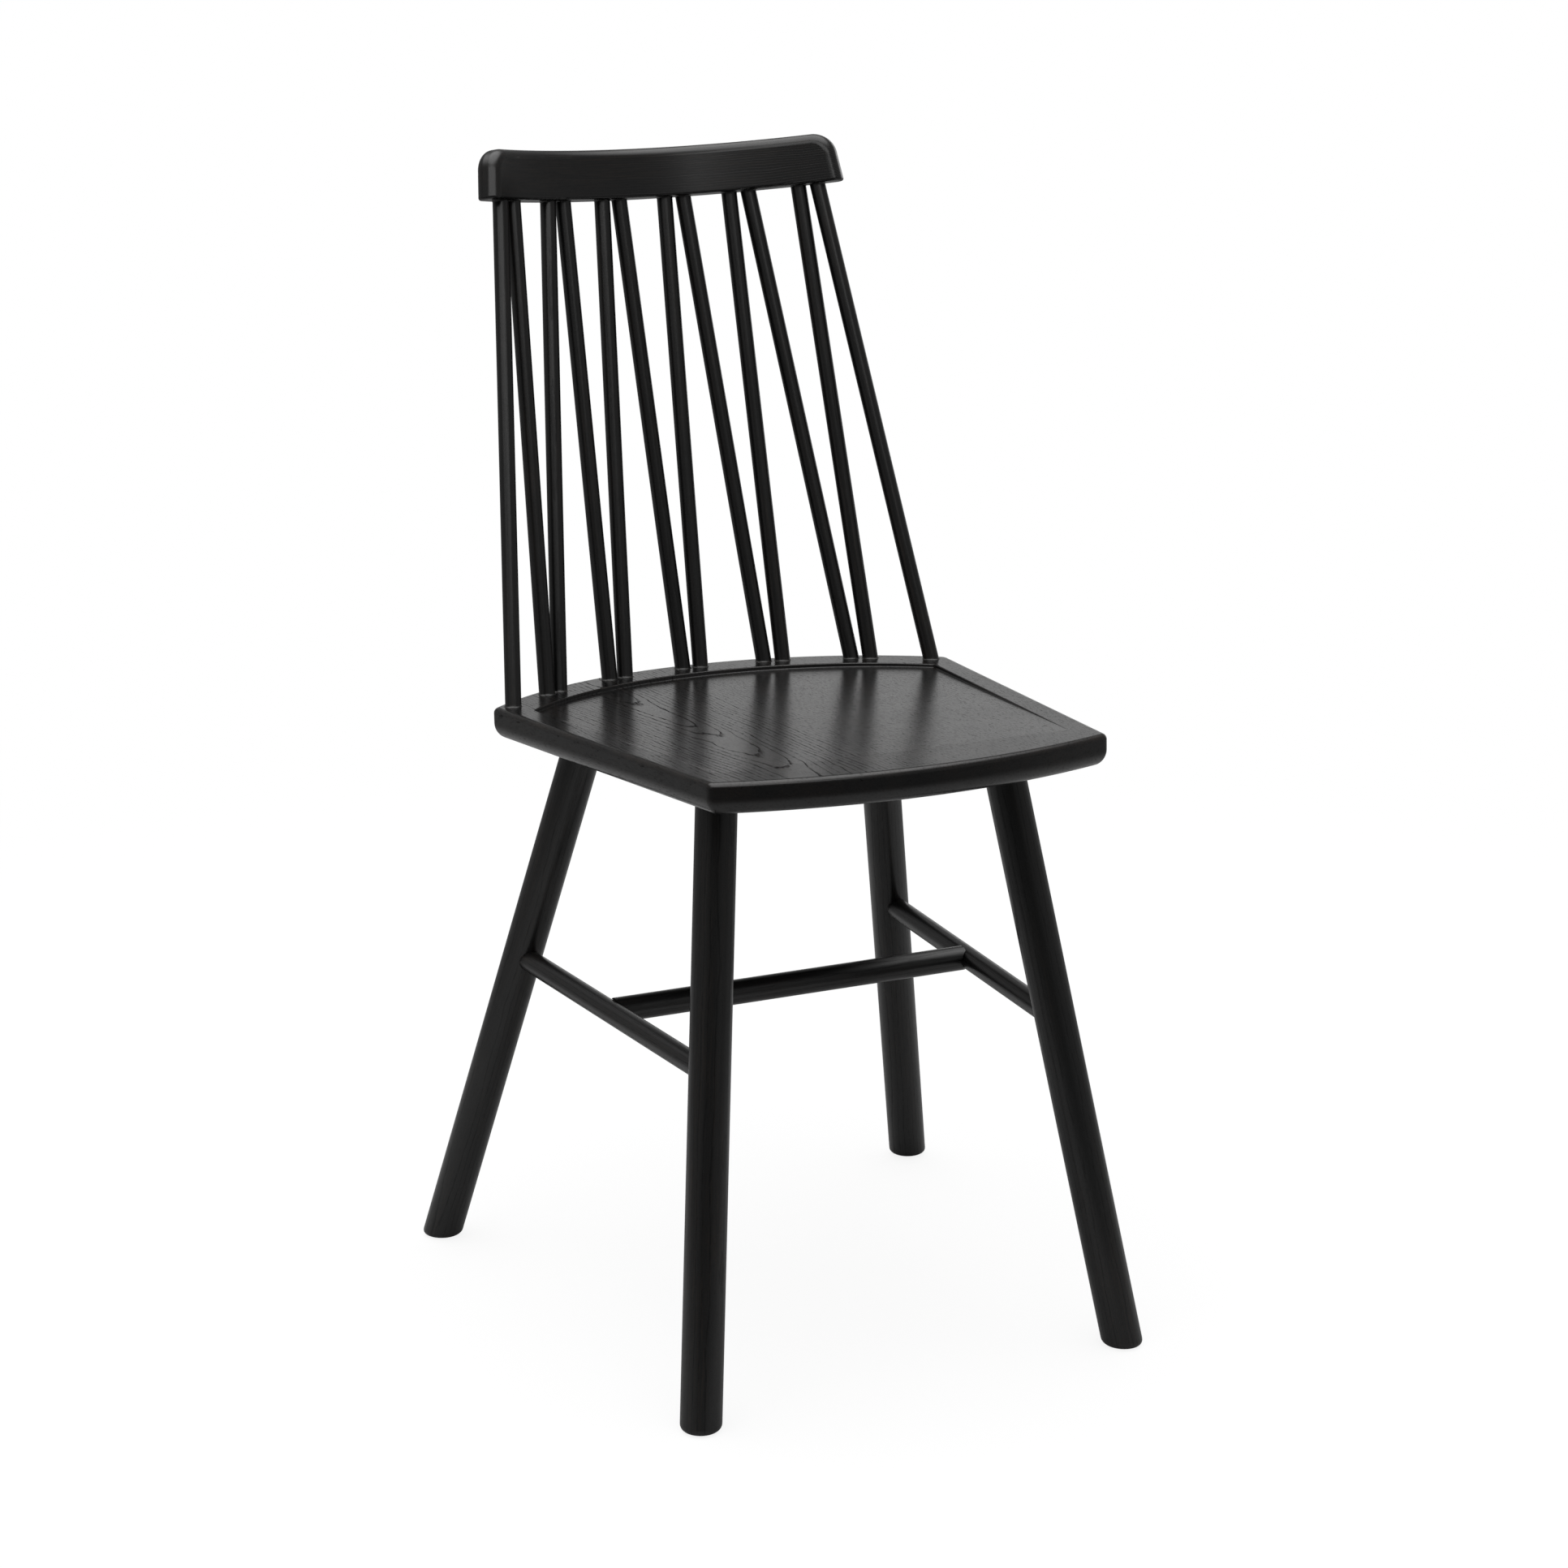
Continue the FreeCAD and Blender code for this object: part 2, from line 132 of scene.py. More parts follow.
class SeatSettings(PropertyGroup):
    """Sizes of the seat board."""

    height: length("Height", "Height of the middle of the seat's top", 0.45)
    middle: length("Middle", "Place of the middle of the seat from front to back", -0.047877)
    slope: angle("Slope", "Fall of the seat towards the back", 2.7)
    thickness: length("Thickness", "Thickness of the board", 0.0234)
    half_width: length("Half width", "Half the width at the middle of the seat", 0.17312)
    side_angle: angle("Side angle", "Angle of each side to the middle line", 6.55)
    front_reach: length("Front reach", "From the middle to the front edge", 0.203)
    front_radius: length("Front radius", "Radius of the bowed front edge", 0.43)
    rear_reach: length("Rear reach", "From the middle to the rear edge", 0.208)
    rear_radius: length("Rear radius", "Radius of the rear edge", 0.271)
    front_corner: length("Front corner", "Radius of the front corners", 0.007)
    rear_corner: length("Rear corner", "Radius of the rear corners", 0.008)
    top_round: length("Top round", "Rounding of the upper edge", 0.004)
    bottom_round: length("Bottom round", "Rounding of the lower edge", 0.012)
    recess_depth: length("Recess depth", "Depth of the sunk surface at the back", 0.0034)
    recess_front: length("Recess front", "From the middle to where the sunk surface runs out", 0.15)
    recess_radius: length("Recess radius", "Radius of the rear edge of the sunk surface", 0.2374)
    recess_corner: length("Recess corner", "Radius of the rear corners of the sunk surface", 0.005)
    rim_width: length("Rim width", "Width of the rim along each side", 0.0205)
    lip_round: length("Lip round", "Rounding of the rim's inner edge", 0.0009)
    cove_round: length("Cove round", "Hollow at the foot of the rim", 0.0008)


class StickSettings(PropertyGroup):
    """Sizes of the round sticks, and the place of the crest rail that holds them."""

    spindle: length("Spindle", "Diameter of the back spindles", 0.012)
    leg: length("Leg", "Diameter of the legs", 0.0296)
    leg_tenon: length("Leg tenon", "Diameter of the tenon on top of a leg", 0.022)
    foot_round: length("Foot round", "Rounding of the lower end of a leg", 0.0042)
    side_stretcher: length("Side stretcher", "Diameter of the side stretchers", 0.0164)
    lacquer_fillet: length("Lacquer fillet", "Lacquer gathered where a stick meets a board", 0.0012)
    crest_lean: angle("Crest lean", "Lean of the crest rail", 13.0)
    crest_height: length("Crest height", "Height of the crest's underside on the middle line", 0.789686)
    crest_back: length("Crest back", "Place of the crest's middle arc from front to back", 0.235306)
    crest_radius: length("Crest radius", "Radius of the crest's middle arc", 0.232)
    sides: IntProperty(name="Sides", description="Number of faces round a stick", default=64, min=12)


class FinishSettings(PropertyGroup):
    """Colours and texture of the black stained finish."""

    stain: colour("Stain", "Stain in the dense wood", (0.003, 0.003, 0.0031))
    stain_streak: colour("Stain streak", "Stain where the wood took less of it", (0.0125, 0.0086, 0.0063))
    pore_colour: colour("Pore", "Stain gathered in the open pores", (0.0016, 0.0016, 0.0016))
    glint: colour("Glint", "Grain lines whose lacquered rims catch the light", (0.042, 0.041, 0.04))
    ring_width: length("Ring width", "Spacing of the growth rings", 0.0032)
    pore_width: length("Pore width", "Width of an open pore", 0.00055)
    pore_length: length("Pore length", "Length of an open pore", 0.011)
    pore_depth: length("Pore depth", "Depth of the pores under the lacquer", 0.00012)
    lacquer_roughness: share("Lacquer roughness", "Roughness of the satin lacquer on the seat", 0.25)
    crest_roughness: share("Crest roughness", "Roughness of the rubbed lacquer on the crest", 0.26)
    stick_roughness: share("Stick roughness", "Roughness of the sprayed lacquer on the sticks", 0.3)
    wood_roughness: share("Wood roughness", "Roughness of the stained wood under the lacquer", 0.5)
    glide: colour("Glide", "Plastic of the foot glides", (0.012, 0.012, 0.0125))


class StageSettings(PropertyGroup):
    """Floor, light and camera."""

    floor_size: length("Floor size", "Length of each side of the floor", 12.0)
    floor: colour("Floor", "Colour of the floor", (0.85, 0.85, 0.85))
    floor_bounce: colour("Floor bounce", "Colour of the light off the floor", (0.36, 0.36, 0.36))
    over_light: amount("Overhead light", "Light from the wide soft light overhead", 2.75)
    back_light: amount("Back light", "Light from the pale backdrop behind the chair", 0.85)
    backdrop_turn: angle("Backdrop turn", "How far the backdrop stands round to the right", 42.0)
    wall_light: amount("Wall light", "Light from the dim walls at the sides", 0.26)
    dark_light: amount("Dark light", "Light from the dark room behind the camera", 0.08)
    front_lamp: power("Front lamp", "Power of the long soft lamp above the camera", 26.0)
    lamp_place: position("Lamp place", "Where the middle of the long lamp hangs", (-1.35, -1.98, 2.5))
    lamp_width: length("Lamp width", "Length of the long lamp from side to side", 4.8)
    lamp_height: length("Lamp height", "Height of the long lamp", 0.9)
    camera_place: position("Camera place", "Where the camera stands", (-1.14410, -2.41498, 1.12348))
    camera_pitch: angle("Camera pitch", "How far the camera looks down", 15.46)
    camera_turn: angle("Camera turn", "How far the camera is turned to the right", 25.51)
    camera_sensor: camera_length("Camera sensor", "Width of the camera's sensor", 36.0)
    camera_lens: camera_length("Camera lens", "Focal length of the camera", 86.26)


class ChairSettings(PropertyGroup):
    """All settings of the chair."""

    seat: PointerProperty(type=SeatSettings, name="Seat", description="Sizes of the seat board")
    sticks: PointerProperty(type=StickSettings, name="Sticks", description="Sizes of the round sticks")
    finish: PointerProperty(type=FinishSettings, name="Finish", description="Colours and texture")
    stage: PointerProperty(type=StageSettings, name="Stage", description="Floor, light and camera")


def settings():
    """The chair's settings in the present scene."""
    return bpy.context.scene.stick_back_chair


def new_object(name, data):
    """An object in the present scene."""
    item = bpy.data.objects.new(name, data)
    bpy.context.scene.collection.objects.link(item)
    return item


# Nodes

NUMBER, VECTOR = "NodeSocketFloat", "NodeSocketVector"


class Nodes:
    """Makes the nodes of one tree and lays them out in rows."""

    ROW_LENGTH, COLUMN_STEP, ROW_STEP = 14, 190, 260

    def __init__(self, tree):
        self.tree = tree

    def feed(self, socket, value):
        """Links a socket to another, or sets its value."""
        if isinstance(value, bpy.types.NodeSocket):
            self.tree.links.new(value, socket)
        else:
            socket.default_value = value

    def add(self, kind, inputs=(), **options):
        """A node with its options set, and then its inputs, given by name or number."""
        node = self.tree.nodes.new(kind)
        row, column = divmod(len(self.tree.nodes), self.ROW_LENGTH)
        node.location = (self.COLUMN_STEP * column, -self.ROW_STEP * row)
        for name, value in options.items():
            setattr(node, name, value)
        for name, value in dict(inputs).items():
            self.feed(node.inputs[name], value)
        return node

    def calc(self, operation, *values):
        """The result of a sum on single numbers."""
        return self.add("ShaderNodeMath", enumerate(values), operation=operation).outputs[0]

    def vector(self, operation, *values):
        """The result of a sum on vectors, a number for a dot product or a length."""
        sockets = (0, "Scale") if operation == "SCALE" else range(len(values))
        node = self.add("ShaderNodeVectorMath", zip(sockets, values), operation=operation)
        return node.outputs[1 if operation in ("DOT_PRODUCT", "LENGTH") else 0]

    def split(self, vector):
        """The three parts of a vector."""
        return self.add("ShaderNodeSeparateXYZ", {0: vector}).outputs

    def join(self, *parts):
        """A vector of three parts."""
        return self.add("ShaderNodeCombineXYZ", enumerate(parts)).outputs[0]

    def turned(self, vector, rotation, location=(0.0, 0.0, 0.0)):
        """A vector that is turned and then moved."""
        inputs = {"Vector": vector, "Location": location, "Rotation": rotation}
        return self.add("ShaderNodeMapping", inputs).outputs[0]

    def ramp(self, value, low, high, from_value=0.0, to_value=1.0):
        """A smooth change between two values while another goes from low to high."""
        inputs = {
            "Value": value, "From Min": low, "From Max": high, "To Min": from_value, "To Max": to_value
        }
        return self.add("ShaderNodeMapRange", inputs, interpolation_type="SMOOTHSTEP").outputs[0]

    def noise(self, place, detail=2.0, roughness=0.5, output="Fac"):
        """Noise at a place given in steps of the noise."""
        inputs = {"Vector": place, "Scale": 1.0, "Detail": detail, "Roughness": roughness}
        return self.add("ShaderNodeTexNoise", inputs).outputs[output]

    def stretched(self, place, across, along):
        """A place in steps of a size across and along the grain, which follows the third axis."""
        return self.vector("MULTIPLY", place, (1 / across, 1 / across, 1 / along))

    def blend(self, factor, first, second):
        """A blend of two colours."""
        node = self.add("ShaderNodeMix", data_type="RGBA")
        values = {"Factor_Float": factor, "A_Color": first, "B_Color": second}
        for socket in node.inputs:
            if socket.identifier in values:
                self.feed(socket, values[socket.identifier])
        return next(socket for socket in node.outputs if socket.identifier == "Result_Color")

    def attribute(self, name, output):
        """An attribute of the piece that wears the material."""
        return self.add("ShaderNodeAttribute", attribute_name=name).outputs[output]

    def object_place(self):
        """The place in the piece's own frame."""
        return self.add("ShaderNodeTexCoord").outputs["Object"]

    def camera_ray(self):
        """Whether the camera itself looks here."""
        return self.add("ShaderNodeLightPath").outputs["Is Camera Ray"]

    def group(self, tree, values):
        """The outputs of a group placed with its own values."""
        return self.add("ShaderNodeGroup", values, node_tree=tree).outputs

    def end_in_mix(self, output, factor, first, second):
        """Ends the tree in a mix of two shaders."""
        mixed = self.add("ShaderNodeMixShader", {0: factor, 1: first.outputs[0], 2: second.outputs[0]})
        self.add(output, {"Surface": mixed.outputs[0]})


def blank_nodes(owner):
    """The emptied nodes of a material or a world."""
    owner.use_nodes = True
    owner.node_tree.nodes.clear()
    return Nodes(owner.node_tree)


def opaque(rgb, tone=1.0):
    """A colour with its alpha, made paler or darker by a tone."""
    return (*(tone * part for part in rgb), 1.0)


def new_group(kind, name, inputs, outputs):
    """A new node group with named sockets: its nodes, the values that it is given and its results."""
    tree = bpy.data.node_groups.new(name, kind)
    for side, sockets in (("INPUT", inputs), ("OUTPUT", outputs)):
        for label, socket_type in sockets.items():
            tree.interface.new_socket(name=label, in_out=side, socket_type=socket_type)
    nodes = Nodes(tree)
    return nodes, nodes.add("NodeGroupInput").outputs, nodes.add("NodeGroupOutput").inputs


def shared_tree(name, maker):
    """A node tree that is made once."""
    return bpy.data.node_groups.get(name) or maker()


# Round sticks

# Rows of the mesh at each end: the middle of the end face, its rim, the root of the tenon, the rows of the
# rounding, and a row that keeps the shading of the rounding off the rest of the stick
RIM_ROW = 1
ROUND_ROW = 3
ROUND_STEPS = 6
END_ROWS = ROUND_ROW + ROUND_STEPS + 2
STICK_ROWS = 2 * END_ROWS
HALF_ROW = 0.5
STICK_SUPPORT = 1.2 * MM
WELD = 0.002 * MM
CREASE = math.radians(45)


def make_stick_tree():
    """A round stick between two planes, with a rounded or filleted edge and a tenon at each end."""
    end_sizes = [
        end + size for size in ("Round", "Tenon Radius", "Tenon Length") for end in ("Foot ", "Head ")
    ]
    inputs = {
        **dict.fromkeys(("Foot", "Head", "Foot Plane", "Head Plane", "Grain Shift"), VECTOR),
        **dict.fromkeys(("Radius", "Grain Turn", *end_sizes), NUMBER),
        "Sides": "NodeSocketInt",
        "Material": "NodeSocketMaterial",
    }
    outputs = {"Geometry": "NodeSocketGeometry"}
    nodes, given, result = new_group("GeometryNodeTree", STICK_TREE, inputs, outputs)
    calc, vector = nodes.calc, nodes.vector

    # A flat sheet whose rows become rings of the stick, counted from each end towards the middle
    last_row = STICK_ROWS - 1
    sheet = nodes.add("GeometryNodeMeshGrid", {
        "Size X": 1.0, "Size Y": 1.0,
        "Vertices X": calc("ADD", given["Sides"], 1.0), "Vertices Y": STICK_ROWS,
    })
    place = nodes.split(nodes.add("GeometryNodeInputPosition").outputs[0])
    turn = calc("MULTIPLY", place["X"], math.tau)
    row = calc("ROUND", calc("MULTIPLY_ADD", place["Y"], last_row, last_row / 2))
    at_head = calc("GREATER_THAN", row, END_ROWS - HALF_ROW)
    step = calc("MINIMUM", row, calc("SUBTRACT", last_row, row))

    def at_end(label):
        gap = calc("SUBTRACT", given["Head " + label], given["Foot " + label])
        return calc("MULTIPLY_ADD", gap, at_head, given["Foot " + label])

    def clamped(value, most):
        return calc("MINIMUM", calc("MAXIMUM", value, 0.0), most)

    rounding = at_end("Round")
    bend = calc("MULTIPLY", calc("SUBTRACT", step, ROUND_ROW), QUARTER_TURN / ROUND_STEPS)
    bend = clamped(bend, QUARTER_TURN)
    rise = calc("MULTIPLY", calc("ABSOLUTE", rounding), calc("SUBTRACT", 1.0, calc("COSINE", bend)))
    drop = calc("MULTIPLY", at_end("Tenon Length"), calc("LESS_THAN", step, RIM_ROW + HALF_ROW))
    beyond = calc("MULTIPLY", calc("GREATER_THAN", step, END_ROWS - 1 - HALF_ROW), STICK_SUPPORT)
    reach = calc("ADD", calc("SUBTRACT", rise, drop), beyond)
    lost = calc("MULTIPLY", rounding, calc("SUBTRACT", 1.0, calc("SINE", bend)))
    body_radius = calc("SUBTRACT", given["Radius"], lost)
    on_tenon = calc("LESS_THAN", step, ROUND_ROW - HALF_ROW)
    tenon_gain = calc("MULTIPLY", calc("SUBTRACT", at_end("Tenon Radius"), body_radius), on_tenon)
    ring_radius = calc("ADD", body_radius, tenon_gain)
    ring_radius = calc("MULTIPLY", ring_radius, calc("GREATER_THAN", step, RIM_ROW - HALF_ROW))

    # The stick's own axes, and the slant of its rings towards the two end planes
    span = vector("SUBTRACT", given["Head"], given["Foot"])
    span_length = vector("LENGTH", span)
    axis = vector("NORMALIZE", span)
    first = vector("NORMALIZE", vector("CROSS_PRODUCT", axis, ACROSS))
    second = vector("CROSS_PRODUCT", axis, first)
    first_part = calc("MULTIPLY", ring_radius, calc("COSINE", turn))
    second_part = calc("MULTIPLY", ring_radius, calc("SINE", turn))
    spoke = vector("ADD", vector("SCALE", first, first_part), vector("SCALE", second, second_part))
    reach_back = calc("SUBTRACT", span_length, calc("MULTIPLY", reach, 2.0))
    along = calc("MULTIPLY_ADD", reach_back, at_head, reach)

    def slant(plane):
        spoke_rise = vector("DOT_PRODUCT", spoke, plane)
        return calc("DIVIDE", spoke_rise, vector("DOT_PRODUCT", axis, plane))

    foot_slant, head_slant = slant(given["Foot Plane"]), slant(given["Head Plane"])
    head_share = clamped(calc("DIVIDE", along, span_length), 1.0)
    slant_gap = calc("SUBTRACT", head_slant, foot_slant)
    along = calc("SUBTRACT", along, calc("MULTIPLY_ADD", slant_gap, head_share, foot_slant))
    spot = vector("ADD", given["Foot"], vector("SCALE", axis, along))
    spot = vector("ADD", spot, spoke)

    # The place in the tree that the stick was cut from, with the growth rings about the third axis
    twist = nodes.add(
        "ShaderNodeVectorRotate",
        {"Vector": nodes.join(first_part, second_part, along), "Angle": given["Grain Turn"]},
        rotation_type="Z_AXIS",
    )
    grain_place = vector("ADD", twist.outputs[0], given["Grain Shift"])
    on_round = calc("MULTIPLY", calc("GREATER_THAN", step, ROUND_ROW - HALF_ROW), calc("COSINE", bend))

    sharp = calc("GREATER_THAN", nodes.add("GeometryNodeInputMeshEdgeAngle").outputs[0], CREASE)
    geometry = sheet.outputs["Mesh"]
    for kind, inputs, options in (
        ("StoreNamedAttribute", {"Name": GRAIN_PLACE, "Value": grain_place}, {"data_type": "FLOAT_VECTOR"}),
        ("StoreNamedAttribute", {"Name": EDGE_MASK, "Value": on_round}, {"data_type": "FLOAT"}),
        ("SetPosition", {"Position": spot}, {}),
        ("MergeByDistance", {"Distance": WELD}, {}),
        ("SetShadeSmooth", {}, {"domain": "FACE"}),
        ("SetShadeSmooth", {"Selection": sharp, "Shade Smooth": False}, {"domain": "EDGE"}),
        ("RealizeInstances", {}, {}),
        ("SetMaterial", {"Material": given["Material"]}, {}),
    ):
        node = nodes.add("GeometryNode" + kind, {"Geometry": geometry, **inputs}, **options)
        geometry = node.outputs[0]
    nodes.feed(result["Geometry"], geometry)
    return nodes.tree


class StickEnd(NamedTuple):
    """One end of a stick: its place, the plane that it meets, its rounding and its tenon."""

    place: np.ndarray
    plane: np.ndarray
    rounding: float
    tenon_radius: float
    tenon_length: float = 0.0


class Cut(NamedTuple):
    """How like sticks are cut from the tree: beside the pith, each further along and turned."""

    off_pith: tuple
    step: float
    turn: float
    first_turn: float = 0.0


SPINDLE_CUT = Cut((0.022, 0.008), 0.73, 1.9)
LEG_CUT = Cut((0.034, 0.012), 0.91, 2.3, 0.7)
STRETCHER_CUT = Cut((0.026, 0.01), 0.57, 2.1)


def place_piece(mesh, name, node):
    """Puts a finished mesh in the scene as the piece that stands for a solid."""
    piece = new_object(name, mesh)
    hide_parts(node)
    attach(piece, "root")


def make_stick(name, material, radius, foot, head, cut, number):
    """One round stick in place of the solid of the same name."""
    values = {
        "Radius": radius, "Sides": settings().sticks.sides, "Material": material,
        "Grain Shift": (*cut.off_pith, cut.step * number), "Grain Turn": cut.turn * number + cut.first_turn,
    }
    for label, end in (("Foot", foot), ("Head", head)):
        values[label] = end.place
        values[label + " Plane"] = end.plane
        values[label + " Round"] = end.rounding
        values[label + " Tenon Radius"] = end.tenon_radius
        values[label + " Tenon Length"] = end.tenon_length
    blank = bpy.data.meshes.new(name + "_maker")
    maker = new_object(name + "_maker", blank)
    modifier = maker.modifiers.new("Stick", "NODES")
    modifier.node_group = shared_tree(STICK_TREE, make_stick_tree)
    for item in modifier.node_group.interface.items_tree:
        if item.in_out == "INPUT":
            modifier[item.identifier] = values[item.name]
    depsgraph = bpy.context.evaluated_depsgraph_get()
    mesh = bpy.data.meshes.new_from_object(
        maker.evaluated_get(depsgraph), preserve_all_data_layers=True, depsgraph=depsgraph
    )
    bpy.data.objects.remove(maker)
    bpy.data.meshes.remove(blank)
    if not mesh.polygons:
        raise RuntimeError("no faces were made for " + name)
    mesh.name = name
    place_piece(mesh, name + "_stick", name)


# Places read from the solids

# Depths within which corners count as a bar's end or a tenon's top, and how often an axis is found anew
END_FACE_DEPTH = 0.5 * MM
TENON_TOP = 3 * MM
AXIS_PASSES = 3


def node_points(name):
    """The corners of a solid's mesh."""
    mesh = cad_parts[name].data
    points = np.empty(3 * len(mesh.vertices), dtype=np.float32)
    mesh.vertices.foreach_get("co", points)
    return points.reshape(-1, 3).astype(float)


def distance(start, end):
    """The distance between two points."""
    return float(np.linalg.norm(end - start))


def end_centre(points, outwards):
    """The middle of the flat end of a bar, the end that lies furthest one way."""
    reach = points @ outwards
    return points[reach > reach.max() - END_FACE_DEPTH].mean(axis=0)


def bar_ends(name):
    """The two end points of a straight bar's axis, the lower or front one first."""
    points = node_points(name)
    heading = np.linalg.svd(points - points.mean(axis=0), full_matrices=False)[2][0]
    if heading[1] + heading[2] <= 0:
        heading = -heading
    for _ in range(AXIS_PASSES):
        heading = heading / np.linalg.norm(heading)
        start, end = end_centre(points, -heading), end_centre(points, heading)
        heading = end - start
    return start, end


def leg_ends(corner):
    """The middle of a leg's foot, over its glide, and the middle of the top of its tenon."""
    name = corner + "_leg"
    low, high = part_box(corner + "_glide")
    glide_middle = (np.array(low) + np.array(high)) / 2
    foot = np.array((glide_middle[0], glide_middle[1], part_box(name)[0][2]))
    points = node_points(name)
    top = points[points[:, 2] > points[:, 2].max() - TENON_TOP].mean(axis=0)
    for _ in range(AXIS_PASSES):
        top = end_centre(points, (top - foot) / distance(foot, top))
    return foot, top


def meet_plane(start, end, point, normal):
    """Where a line meets a plane."""
    heading = end - start
    return start + heading * (np.dot(point - start, normal) / np.dot(heading, normal))


def seat_plane(drop):
    """A point of the plane at a depth below the seat's top, and the plane's normal."""
    seat = settings().seat
    normal = np.array((0.0, math.sin(seat.slope), math.cos(seat.slope)))
    return np.array((0.0, seat.middle, seat.height)) - drop * normal, normal


def crest_plane():
    """A point of the crest's underside, and its normal."""
    sticks = settings().sticks
    point = np.array((0.0, sticks.crest_back, sticks.crest_height))
    return point, np.array((0.0, math.sin(sticks.crest_lean), math.cos(sticks.crest_lean)))


# Seat board

# Where the seat's rings lie beside its edges and on its flats, and the steps round each edge
SEAT_SUPPORT = 0.5 * MM
UNDERSIDE_INSET = 60 * MM
SUNK_INSETS = (12 * MM, 40 * MM, 75 * MM, 105 * MM)
BOTTOM_STEPS, TOP_STEPS, LIP_STEPS = 10, 7, 5

# Wear of the lower edge, the slant of the rim's inner wall, and the front of the sunk surface
BOTTOM_WEAR = 0.35
LIP_DRAFT = 0.15 * MM
NEARLY_STRAIGHT = 100.0
RECESS_FRONT_CORNER = 6 * MM


class Plan:
    """An outline that is even about the middle line: a bowed front, slanted sides and a bowed rear."""

    STEPS = {"front": 44, "corner": 10, "side": 48, "rear": 64}
    LEAST_CORNER = 0.4 * MM

    def __init__(self, front, rear, half_width, side_angle):
        """Takes the reach, the radius and the corners' radius of the front and of the rear."""
        front_reach, self.front_radius, self.front_corner = front
        rear_reach, self.rear_radius, self.rear_corner = rear
        self.front_centre = self.front_radius - front_reach
        self.rear_centre = rear_reach - self.rear_radius
        self.heading = np.array((math.sin(side_angle), math.cos(side_angle)))
        self.outward = np.array((self.heading[1], -self.heading[0]))
        self.side_point = np.array((half_width, 0.0))

    def corner_centre(self, inset, radius, arc_centre, arc_radius, way):
        """The middle of a corner's rounding between a side and an arc."""
        point = self.side_point - self.outward * (inset + radius)
        offset = point - np.array((0.0, arc_centre))
        heading = self.heading * way
        drift = offset @ heading
        reach = math.sqrt(drift * drift - offset @ offset + (arc_radius - radius) ** 2) - drift
        return point + heading * reach

    def ring(self, inset):
        """The outline moved inwards, as points going round from the middle of the front."""
        steps = self.STEPS
        front_radius, rear_radius = self.front_radius - inset, self.rear_radius - inset
        near = max(self.front_corner - inset, self.LEAST_CORNER)
        far = max(self.rear_corner - inset, self.LEAST_CORNER)
        front = self.corner_centre(inset, near, self.front_centre, front_radius, -1)
        rear = self.corner_centre(inset, far, self.rear_centre, rear_radius, 1)
        front_end = math.atan2(front[0], self.front_centre - front[1]) - QUARTER_TURN
        side_turn = math.atan2(self.outward[1], self.outward[0])
        rear_start = QUARTER_TURN - math.atan2(rear[0], rear[1] - self.rear_centre)

        def arc(centre, radius, start, end, count):
            turns = np.linspace(start, end, count, endpoint=False)
            return np.array(centre) + radius * np.c_[np.cos(turns), np.sin(turns)]

        shares = np.linspace(0, 1, steps["side"], endpoint=False)[:, None]
        right = np.concatenate((
            arc((0.0, self.front_centre), front_radius, -QUARTER_TURN, front_end, steps["front"]),
            arc(front, near, front_end, side_turn, steps["corner"]),
            (front + near * self.outward) * (1 - shares) + (rear + far * self.outward) * shares,
            arc(rear, far, side_turn, rear_start, steps["corner"]),
            arc((0.0, self.rear_centre), rear_radius, rear_start, QUARTER_TURN, steps["rear"]),
            [(0.0, self.rear_centre + rear_radius)],
        ))
        left = right[-2:0:-1] * (-1, 1)
        return np.concatenate((right, left))


def quarter(steps):
    """The turns of a quarter circle, ends included."""
    return np.linspace(0, QUARTER_TURN, steps + 1)


